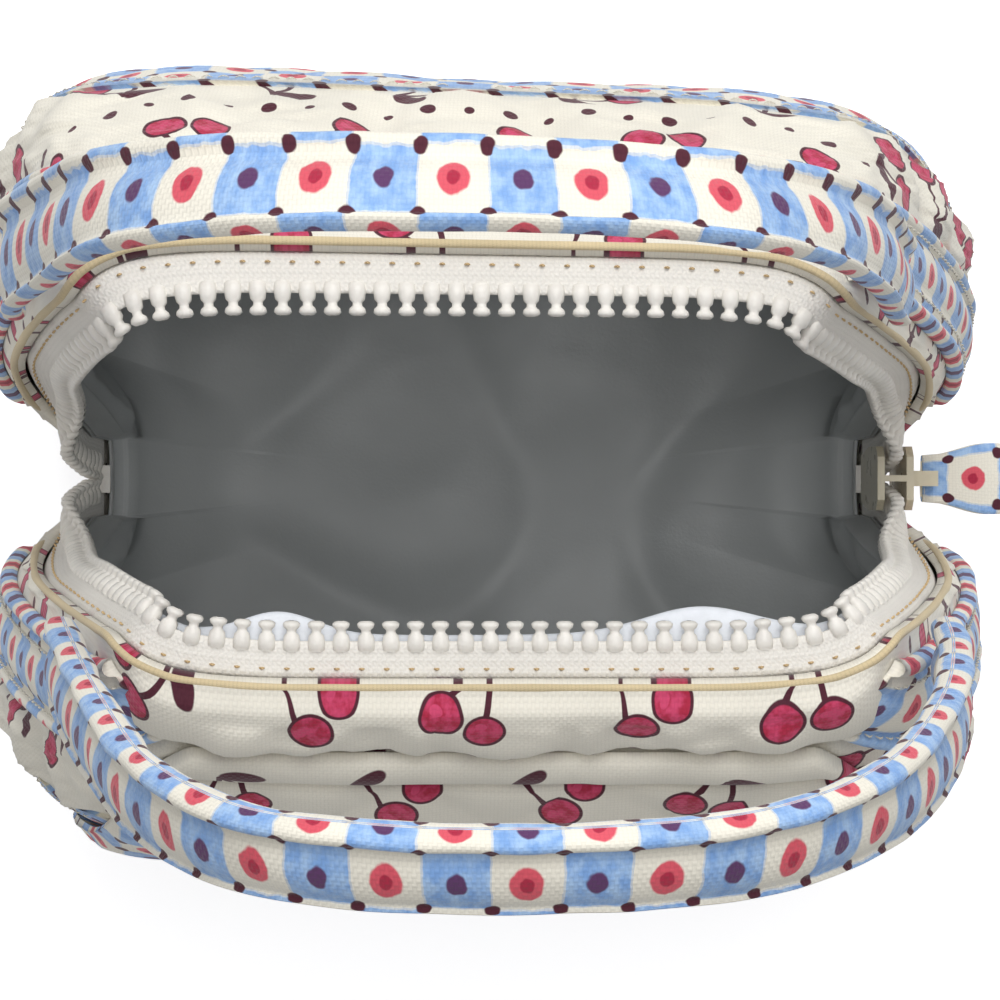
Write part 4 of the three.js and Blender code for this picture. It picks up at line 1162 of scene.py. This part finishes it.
def zip_teeth(label, half):
    """Moulded teeth: each a waisted peg of 78 faces with a block on the tape and a round head, one per pitch."""
    place, _, _, reach, face, width = rim_frames(half)
    phase = 0.0 if half > 0 else 0.5
    edge = place + reach * (width + 0.3)[:, None]
    run = run_length(edge)
    usable = run[-1] - 2 * TEETH_FROM_END
    count = int(round(usable / TOOTH_PITCH))
    teeth = count - 1 if phase else count
    middle = TEETH_FROM_END + (np.arange(teeth) + 0.5 + phase) * usable / count
    spot = read_at(middle, run, edge)
    out, up = unit(read_at(middle, run, reach)), unit(read_at(middle, run, face))
    along = unit(np.cross(out, up))
    turn = np.linspace(0, 2 * math.pi, 9)[:-1] + math.pi / 8
    u, v = fuller(np.cos(turn), 0.7), fuller(np.sin(turn), 0.7)
    loops = (spot[:, None, None] + out[:, None, None] * TOOTH_AT[None, :, None, None]
             + along[:, None, None] * (TOOTH_WIDE[:, None] * u)[None, ..., None]
             + up[:, None, None] * (TOOTH_TALL[:, None] * v)[None, ..., None])
    piece(label + "_teeth_pegs", many_bodies(slanted(loops)), "teeth", "bag", "zip_teeth", label + "_zip_teeth")


def facing():
    """White inner facing that shows behind the front teeth: a thin sheet under the tape with a wavy free edge. Its
    bluish white is partly the facing's own colour and partly painted light, where the lining by the mouth is lit from
    above.
    """
    place, _, _, reach, face, width = rim_frames(-1.0)
    keep = place[:, 2] > 188
    place, reach, face, width = place[keep, None], reach[keep, None], face[keep, None], width[keep, None]
    x = place[..., 0]
    droop = 4.2 * np.exp(-((x + 38) / 9) ** 2) + 5.2 * np.exp(-((x - 34) / 14) ** 2) + 0.8
    share = np.linspace(0, 1, 14)[None, :]
    away = 1.0 + (width - 1.0 + droop) * share
    down = 1.9 + 1.6 * share ** 2 + 0.4 * soft_noise(x, away, 18.0, 91)
    top = place + reach * away[..., None] - face * down[..., None]
    piece("front_lit_facing", sheet_body(slanted(top), slanted(top - face * 0.5), x, away),
          "facing", "bag", "lining_sheet")


# Straps, pocket and handles

def ribbon_profile(share):
    """Height over a strap's width: round rolls at both edges, a stitched channel, and a soft main face."""
    channel = 0.45 * smooth(0.16, 0.2, share) * (1 - smooth(0.3, 0.34, share))
    middle = 0.85 * np.sin(np.clip((share - 0.34) / 0.5, 0, 1) * math.pi) ** 0.5
    return np.maximum.reduce([bead(share, 0.08, 0.08), bead(share, 0.92, 0.08), channel, middle, 0.3 + 0 * share])


def strap(label, side, half):
    """A strap beside the zip: its rolled profile swept up the wall at a set arc from the opening's edge."""
    z = np.linspace(NOTCH_BOTTOM + 20, BODY_HEIGHT - 5, 60)[:, None]
    across = np.linspace(0, 1, 33)[None, :]
    flat = STRAP_WIDTH * across
    angle = from_notch(z, STRAP_ARC + flat)
    run = profile_arc(z)
    lift = 2.4 * ribbon_profile(across) + 0.35 * soft_noise(run, flat, 22.0, 17 + int(side + half * 2)) - 0.1
    top = layer(angle, z, side, half, -0.9 - lift * (0.35 + 0.65 * smooth(0, 5, z - z[0])))
    bottom = layer(angle, z, side, half, -0.5)
    piece(label + "_strap_cloth", sheet_body(top, bottom, flat, run),
          "strap", "bag", "trim_cotton", label + "_strap", fill=0.6)


def pocket_columns():
    """Angles and sides of the front columns that the slip pocket covers."""
    angle, side = half_columns(10)
    keep = depth_share(angle) > POCKET_SHARE
    return angle[keep], side[keep]


def pocket_lift(angle, z):
    """How far the pocket stands off the wall: more towards its middle and its top."""
    up = smooth(0.0, 1.0, (z - POCKET_FOOT) / (pocket_edge(angle) - POCKET_FOOT))
    return 0.8 + (POCKET_STAND_OFF - 0.8) * pocket_across(angle) * up


def pocket_strip(label, high, low, thick, puff, finish, slot, settings):
    """One strip of the slip pocket between two heights: a quilted sheet, its free edges rounded over."""
    angle, side = pocket_columns()
    fall = high - low + 0 * angle
    rows = max(14, int(fall.max() / 1.5))
    z = (low + 0 * angle)[:, None] + fall[:, None] * np.linspace(1, 0, rows)[None, :]
    a, s = by_rows(rows, angle, side)
    u, v = cloth_place(a, z, s)
    ends = smooth(0, 4, run_length(layer(angle, 120.0, side, -1.0, 0.0)))
    rounded = np.clip(np.sin(np.linspace(0, 1, rows) * math.pi), 0, 1) ** 0.35
    rounded = rounded * (0.35 + 0.65 * (ends * ends[::-1])[:, None])
    lump = puff * quilted(u, v) + 0.6 * settings.fold_depth / MM * soft_noise(u, v, 45.0, 41)
    lift = pocket_lift(a, z)
    outer = layer(a, z, s, -1.0, -(lift + (thick - 0.3 + np.abs(lump)) * rounded + 0.3))
    inner = layer(a, z, s, -1.0, -lift)
    piece("pocket_" + label + "_cloth", sheet_body(outer, inner, u, v),
          finish, "bag", slot, "pocket_" + label, fill=0.4)


def centripetal(points, count):
    """Points at equal distances along a centripetal Catmull-Rom curve through the given points."""
    points = np.concatenate([2 * points[:1] - points[1:2], points, 2 * points[-1:] - points[-2:-1]])
    knots = np.linalg.norm(np.diff(points, axis=0), axis=1) ** 0.5
    t = np.linspace(0, 1, 60, endpoint=False)[:, None]
    out = []
    for i in range(len(points) - 3):
        (p0, p1, p2, p3), (k1, k2, k3) = points[i:i + 4], knots[i:i + 3]
        m1 = ((p1 - p0) / k1 - (p2 - p0) / (k1 + k2) + (p2 - p1) / k2) * k2
        m2 = ((p2 - p1) / k2 - (p3 - p1) / (k2 + k3) + (p3 - p2) / k3) * k2
        c2, c3 = 3 * (p2 - p1) - 2 * m1 - m2, 2 * (p1 - p2) + m1 + m2
        out.append(p1 + m1 * t + c2 * t ** 2 + c3 * t ** 3)
    curve = np.concatenate(out + [points[-2:-1]])
    run = run_length(curve)
    return read_at(np.linspace(0, run[-1], count), run, curve)


# Each handle: half, height of its top, lean in degrees, and both legs' shares of the half span at LEG_HEIGHTS
LEG_HEIGHTS = (0, 0.14, 0.4, 0.74, 0.93)
HANDLES = {
    "back": (1.0, 283.0, 5.9, (1, 0.985, 0.885, 0.72, 0.44), (1, 0.97, 0.92, 0.76, 0.51)),
    "front": (-1.0, 300.0, 15.2, (1, 0.96, 0.87, 0.7, 0.47), (1, 1, 0.945, 0.76, 0.49)),
}


def handle_frames(label, count):
    """Frames along a handle's arch: place, across, face and width share, with rounded ends below the pivot."""
    half, top, lean, left, right = HANDLES[label]
    lean = math.radians(lean)
    rise = (top - PIVOT_HEIGHT) / math.cos(lean) * np.array(LEG_HEIGHTS + (1,) + LEG_HEIGHTS[::-1])
    x = HANDLE_HALF_SPAN * np.concatenate([-np.array(left), [0], right[::-1]])
    y, z = half * (PIVOT_Y + rise * math.sin(lean)), PIVOT_HEIGHT + rise * math.cos(lean)
    place = centripetal(np.stack([x, y, z], -1), count)
    along = unit(np.gradient(place, axis=0))
    share = np.linspace(0, 1, count)
    near = np.minimum(share, 1 - share)
    tilt = math.radians(HANDLE_TILT) * smooth(0, 0.32, near)
    across = square_to(np.stack([0 * tilt, np.cos(tilt), half * np.sin(tilt)], -1), along)
    face = np.cross(along, across)
    full = HANDLE_FOOT / HANDLE_WIDTH
    steps = np.array([1.0, 0.985, 0.93, 0.84, 0.7, 0.5, 0.25])
    drop = np.array([0, 0, -HANDLE_FOOT / 2]) * steps[:, None]
    place = np.concatenate([place[0] + drop, place, place[-1] + drop[::-1]])
    across, face = (np.pad(v, ((len(steps), len(steps)), (0, 0)), mode="edge") for v in (across, face))
    end = full * np.sqrt(np.clip(1 - steps ** 2, 0.003, 1))
    width = np.concatenate([end, full + (1 - full) * smooth(0, 0.1, near), end[::-1]])
    return place, across, face, width


def handle_section(share):
    """Handle section, once round: offsets across and out, a wide roll, a stitched channel and a narrow roll."""
    u = np.cos(share * 2 * math.pi)
    w = (1 - u) / 2
    middle = 1.15 * np.sin(np.clip((w - 0.27) / 0.65, 0, 1) * math.pi) ** 0.45
    height = np.maximum.reduce([1.3 * bead(w, 0.11, 0.11), 0.85 * bead(w, 0.95, 0.05),
                                0.62 * (w > 0.05) * (w < 0.95), middle])
    return u, np.where(share < 0.5, 1.0, -1.0) * height


def swept(place, across, sideways, face, outwards):
    """Section loops along a path, from each frame's directions and the offsets of its loop's points along them."""
    return place[:, None] + across[:, None] * sideways[..., None] + face[:, None] * outwards[..., None]


def handle(label, settings):
    """A padded handle: its section swept along the arch, puffed and creased at the bends, bending at its foot."""
    half = HANDLES[label][0]
    place, across, face, width = handle_frames(label, 190)
    run = run_length(place)[:, None]
    turn = np.linspace(0, 1, 65)[None, :-1]
    u, v = handle_section(turn)
    ripple = 0.35 * soft_noise(run, 8 * u, 14.0, 51 + int(half)) * settings.fold_depth / MM
    bulge = 0.55 * soft_noise(run, 10 * u, 40.0, 61 + int(half))
    outwards = v * (2.3 + (ripple + bulge) * 0.45) * np.maximum(width, 0.25)[:, None]
    sideways = u * HANDLE_WIDTH / 2 * width[:, None] * (1 + 0.02 * soft_noise(run, 0 * run, 30.0, 55))
    loops = slanted(swept(place, across, sideways, face, outwards))
    thing = make_mesh(label + "_handle_cloth", *loop_body(loops, turn * 38, run), material("strap"))
    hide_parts(label + "_handle_cover")
    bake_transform(thing)


def handle_core(label):
    """The foam strip in a handle: an oval section swept along the same arch, short of both feet."""
    place, across, face, width = (values[15:-15] for values in handle_frames(label, 90))
    turn = np.linspace(0, 2 * math.pi, 25)[None, :-1]
    u = np.cos(turn)
    sideways = (HANDLE_WIDTH / 2 - 1.3) * u * width[:, None]
    loops = slanted(swept(place, across, sideways, face, 1.1 * fuller(np.sin(turn), 0.5)))
    piece(label + "_handle_core", loop_body(loops, 7.4 * u, run_length(place)[:, None]),
          "foam", label + "_handle", "foam", label + "_handle_padding")


def foam_copy(node):
    """A foam solid from inside the bag, copied from the frame with this script's own foam."""
    thing = bpy.data.objects.new(node + "_sheet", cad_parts[node].data.copy())
    bpy.context.scene.collection.objects.link(thing)
    thing.data.materials.clear()
    thing.data.materials.append(material("foam"))
    put(thing, "bag", "foam", node)


def fabric_pull():
    """The folded cloth loop on the slider: a band run out from the slider's ring, round a fold, and back."""
    low, high = (np.array(corner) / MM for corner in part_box("zip_pull"))
    ring = np.array([low[0] + 2.2, 0.0, high[2] - 1.4])
    tip = np.array([high[0] - 1.3, 0.0, low[2] + 3.2])
    turn = np.linspace(0, 1, 60)[:, None]
    axis = unit(tip - ring)
    up = np.array([-axis[2], 0, axis[0]])
    swing = np.sin(turn * math.pi) ** 0.6
    apart = np.clip(np.sin(turn * 2 * math.pi) * np.sign(0.5 - turn), 0, 1) ** 0.5
    spine = ring + (tip - ring) * swing + up * (1.7 * apart * np.where(turn < 0.5, 1.0, -1.0))
    along = unit(np.gradient(spine, axis=0))
    out = np.stack([along[:, 2], 0 * along[:, 1], -along[:, 0]], -1)
    steps = np.linspace(0, 2 * math.pi, 25)[None, :-1]
    u = np.cos(steps)
    gather = 4.6 + 2.4 * smooth(0.05, 0.6, swing)
    crease = 1 + 0.25 * soft_noise(turn * 40, u * 7, 9.0, 77)
    across = np.broadcast_to(np.array([0, 1, 0.0]), spine.shape)
    loops = swept(spine, across, gather * u, out, 0.75 * crease * fuller(np.sin(steps), 0.5))
    piece("pull_loop", loop_body(loops, u * 7, run_length(spine)[:, None]),
          "strap", "pull", "trim_cotton", "zip_pull", fill=0.5)


# Stitching

def wall_line(angle, z, side, half, lift):
    """Points and normals of a line of sewing that lies lift off one half's wall."""
    return layer(angle, z, side, half, -lift), wall_normal(angle, z, side, half)


def stitches(name, lines, pitch, length, radius, thread="thread"):
    """Thread stitches along lines of (points, normals): each stitch is a six-sided capsule of 34 faces, bowed out."""
    ring = np.linspace(0, 2 * math.pi, 7)[:-1]
    t = np.linspace(0, 1, 6)
    bow = np.sin(t * math.pi)
    size = (radius * np.maximum(bow, 0.15) ** 0.4)[:, None]
    sewn = []
    for points, normals in lines:
        run = run_length(points)
        at = ((np.arange(int(run[-1] / pitch)) + 0.3) * pitch)[:, None] + length * t
        spot, normal = read_at(at, run, points), unit(read_at(at, run, normals))
        beside = np.cross(unit(spot[:, -1:] - spot[:, :1]), normal)
        centre = spot + normal * (radius * (2.2 * bow - 0.6))[:, None]
        sewn.append(centre[:, :, None] + beside[:, :, None] * (size * np.cos(ring))[..., None]
                    + normal[:, :, None] * (size * np.sin(ring))[..., None])
    loops = np.concatenate(sewn)
    uv = [np.broadcast_to(values, loops.shape[:3]) for values in ((length * t)[:, None], ring * radius)]
    piece(name, many_bodies(loops, np.stack(uv, -1)), thread, "bag", "trim_cotton")


# Add-on parts

COLOURS = {
    "cream": (246, 241, 227),
    "berry": (180, 40, 70),
    "pink": (215, 75, 115),
    "plum": (85, 35, 50),
    "light_blue": (176, 208, 246),
    "mid_blue": (132, 174, 232),
    "blue_ink": (96, 58, 104),
    "coral": (228, 92, 108),
    "tape": (242, 238, 230),
    "slider": (208, 198, 172),
    "lining": (182, 185, 185),
    "thread": (236, 230, 214),
    # Ochre of the seam edge beside the tape: painted shadow and warm reflection of the groove there.
    "seam": (232, 212, 170),
}


def setting(name, description, default, low, high, subtype, unit="NONE"):
    """A number in the panel."""
    return bpy.props.FloatProperty(name=name, description=description, default=default, min=low, max=high,
                                   subtype=subtype, unit=unit)


class BagShape(bpy.types.PropertyGroup):
    """How full and how creased the bag's cloth is."""

    quilt_puff: setting("Quilt puff", "Height of the quilting between its stitch lines",
                        0.0018, 0.0, 0.005, "DISTANCE", "LENGTH")
    fold_depth: setting("Fold depth", "Depth of the folds and sags in the outer cloth",
                        0.0016, 0.0, 0.005, "DISTANCE", "LENGTH")
    crumple: setting("Lining crumple", "Depth of the creases in the lining",
                     0.0012, 0.0, 0.003, "DISTANCE", "LENGTH")


class BagColours(bpy.types.PropertyGroup):
    """Colours of the cloths, tape, enamel and thread."""

    __annotations__ = {
        key: bpy.props.FloatVectorProperty(
            name=key.replace("_", " ").capitalize(), description="Colour, as shown on screen",
            default=tuple(v / 255 for v in value), size=3, min=0.0, max=1.0, subtype="COLOR_GAMMA")
        for key, value in COLOURS.items()
    }


class StageSettings(bpy.types.PropertyGroup):
    """Camera place and light levels."""

    camera_height: setting("Camera height", "Height of the camera above the floor",
                           1.045, 0.4, 3.0, "DISTANCE", "LENGTH")
    lens: setting("Lens", "Focal length of the camera for a 36 mm sensor",
                  182.05, 20.0, 400.0, "DISTANCE_CAMERA", "CAMERA")
    key_power: setting("Key power", "Power of the large lamp overhead", 11.8, 0.0, 300.0, "POWER", "POWER")
    world_level: setting("World level", "Strength of the even light from all round", 0.3, 0.0, 3.0, "FACTOR")


class BAG_OT_shell(bpy.types.Operator):
    """Make the outer cloth of both halves and the contrast base."""

    bl_idname = "bag.shell"
    bl_label = "Outer cloth and base"

    def execute(self, context):
        for label, half in HALVES:
            outer_panel(label, half, context.scene.bag_shape)
        boot(context.scene.bag_shape)
        return {"FINISHED"}


class BAG_OT_inside(bpy.types.Operator):
    """Make the lining, and give the foam and the board inside their materials."""

    bl_idname = "bag.inside"
    bl_label = "Lining, foam and board"

    def execute(self, context):
        lining_piece(context.scene.bag_shape)
        for node in ("back_foam_wall", "front_foam_wall", "base_foam"):
            foam_copy(node)
        paint_node("base_board", "board")
        return {"FINISHED"}


class BAG_OT_zip(bpy.types.Operator):
    """Make the tapes, the seam edges, the teeth, the facing and the pull, and paint the stops and the slider."""

    bl_idname = "bag.zip"
    bl_label = "Zip"

    def execute(self, context):
        for make in (tape, rim_roll, zip_teeth):
            for label, half in HALVES:
                # Make the tapes, the seam edges, the teeth, the facing, whose white is partly painted light, and the
                # pull, and paint the stops and the slider.
                make(label, half)
        facing()
        for node in ("zip_stop_right", "zip_stop_left"):
            paint_node(node, "teeth")
        paint_node("zip_slider", "enamel")
        fabric_pull()
        return {"FINISHED"}


class BAG_OT_straps(bpy.types.Operator):
    """Make the four straps beside the zip."""

    bl_idname = "bag.straps"
    bl_label = "Side straps"

    def execute(self, context):
        for label, half in HALVES:
            for way, side in SIDES:
                strap(label + "_" + way, side, half)
        return {"FINISHED"}


class BAG_OT_pocket(bpy.types.Operator):
    """Make the slip pocket's hem, panel and band."""

    bl_idname = "bag.pocket"
    bl_label = "Slip pocket"

    def execute(self, context):
        settings = context.scene.bag_shape
        edge = pocket_edge(pocket_columns()[0])
        pocket_strip("hem", edge, edge - 7.0, 3.2, 0.3, "print", "print_cotton", settings)
        pocket_strip("panel", edge - 7.2, BAND_HEIGHT, 2.4, 2.2, "print", "print_cotton", settings)
        pocket_strip("band", BAND_HEIGHT - 0.4, POCKET_FOOT, 2.4, 1.6, "check", "trim_cotton", settings)
        return {"FINISHED"}


class BAG_OT_handles(bpy.types.Operator):
    """Make the two padded handles and the foam in them."""

    bl_idname = "bag.handles"
    bl_label = "Handles"

    def execute(self, context):
        for label in HANDLES:
            handle(label, context.scene.bag_shape)
        for label in HANDLES:
            handle_core(label)
        return {"FINISHED"}


class BAG_OT_stitching(bpy.types.Operator):
    """Sew the base seam, the tapes and the straps with thread."""

    bl_idname = "bag.stitching"
    bl_label = "Stitching"

    def execute(self, context):
        angle, side = half_columns(8)
        z = band_height(angle) - 2.5
        for label, half in HALVES:
            keep = (half > 0) | (depth_share(angle) < 0.83)
            lines = [wall_line(angle[pick], z[pick], side[pick], half, 0.7)
                     for pick in (keep & (side < 0), keep & (side > 0))]
            stitches(label + "_base_stitches", lines, 3.0, 2.0, 0.15)
            place, _, _, reach, face, _ = rim_frames(half)
            line = slanted(place + reach * 1.1 + face * 0.5)
            stitches(label + "_tape_stitches", [(line, face)], TOOTH_PITCH, 1.0, 0.24, "ochre_thread")
        z = np.linspace(NOTCH_BOTTOM + 23, BODY_HEIGHT - 6, 80)
        lines = [wall_line(from_notch(z, STRAP_ARC + STRAP_WIDTH * share), z, way, half, lift)
                 for _, way in SIDES for _, half in HALVES for share, lift in ((0.25, 2.1), (0.82, 2.5))]
        stitches("strap_stitches", lines, 2.8, 1.9, 0.2)
        return {"FINISHED"}


def paint_node(node, name):
    """Gives every material slot of a frame node one of this script's materials."""
    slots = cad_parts[node].data.materials
    if not slots:
        slots.append(material(name))
    for index in range(len(slots)):
        slots[index] = material(name)


def area_lamp(name, place, aim, size, power):
    """A soft square area lamp at a place, turned towards a point."""
    data = bpy.data.lights.new(name, "AREA")
    data.shape = "SQUARE"
    data.size = size
    data.energy = power
    lamp = bpy.data.objects.new(name, data)
    bpy.context.scene.collection.objects.link(lamp)
    lamp.location = place
    away = unit(np.array(place) - np.array(aim))
    lamp.rotation_euler = (math.acos(away[2]), 0, math.atan2(away[0], -away[1]))


class BAG_OT_stage(bpy.types.Operator):
    """Make the pale floor, the soft studio light, the even world light and the camera."""

    bl_idname = "bag.stage"
    bl_label = "Floor, light and camera"

    def execute(self, context):
        found = context.scene.bag_stage
        finish = Finish("pale_floor", 0.9, 0.0, 0.5)
        finish.set("Base Color", (0.86, 0.86, 0.86, 1))
        finish.set("Emission Color", (1, 1, 1, 1))
        finish.set("Emission Strength", finish.graph.source("ShaderNodeLightPath", "Is Camera Ray") * 0.62)
        corners = [(x * 3000, y * 3000, -0.2) for x, y in ((-1, -1), (1, -1), (1, 1), (-1, 1))]
        make_mesh("floor", corners, [[0, 1, 2, 3]], None, finish.made)
        world = bpy.data.worlds.new("studio")
        world.use_nodes = True
        back = world.node_tree.nodes["Background"].inputs
        graph = Graph(world.node_tree)
        seen = graph.source("ShaderNodeLightPath", "Is Camera Ray")
        graph.put(back["Color"], (1, 1, 1, 1))
        graph.put(back["Strength"], seen * (1.0 - found.world_level) + found.world_level)
        context.scene.world = world
        context.scene.view_settings.view_transform = "Standard"
        area_lamp("key", (0.1, 0.85, 1.25), (0, 0, 0.15), 0.9, found.key_power)
        area_lamp("top", (0.05, 0.15, 1.6), (0, 0, 0.1), 0.8, found.key_power * 0.65)
        data = bpy.data.cameras.new("camera")
        data.sensor_width = 36.0
        data.lens = found.lens
        camera = bpy.data.objects.new("camera", data)
        camera.location = (0.0034, -0.0042, found.camera_height)
        context.scene.collection.objects.link(camera)
        context.scene.camera = camera
        return {"FINISHED"}


OPERATORS = (
    BAG_OT_stage, BAG_OT_shell, BAG_OT_inside, BAG_OT_zip, BAG_OT_straps,
    BAG_OT_pocket, BAG_OT_handles, BAG_OT_stitching,
)
GROUPS = (("bag_shape", BagShape), ("bag_colours", BagColours), ("bag_stage", StageSettings))


class BAG_PT_panel(bpy.types.Panel):
    """The settings and the buttons in the sidebar of the 3D view."""

    bl_idname = "BAG_PT_panel"
    bl_label = "Tote bag"
    bl_space_type = "VIEW_3D"
    bl_region_type = "UI"
    bl_category = "Tote bag"

    def draw(self, context):
        layout = self.layout
        for attribute, kind in GROUPS:
            box = layout.box()
            for key in kind.__annotations__:
                box.prop(getattr(context.scene, attribute), key)
        for operator in OPERATORS:
            layout.operator(operator.bl_idname)


def register():
    for attribute, kind in GROUPS:
        bpy.utils.register_class(kind)
        setattr(bpy.types.Scene, attribute, bpy.props.PointerProperty(type=kind))
    for kind in OPERATORS + (BAG_PT_panel,):
        bpy.utils.register_class(kind)


def unregister():
    for kind in reversed(OPERATORS + (BAG_PT_panel,)):
        bpy.utils.unregister_class(kind)
    for attribute, kind in reversed(GROUPS):
        delattr(bpy.types.Scene, attribute)
        bpy.utils.unregister_class(kind)


def main():
    register()
    for operator in OPERATORS:
        getattr(bpy.ops.bag, operator.bl_idname.split(".")[1])()


if __name__ == "__main__":
    main()
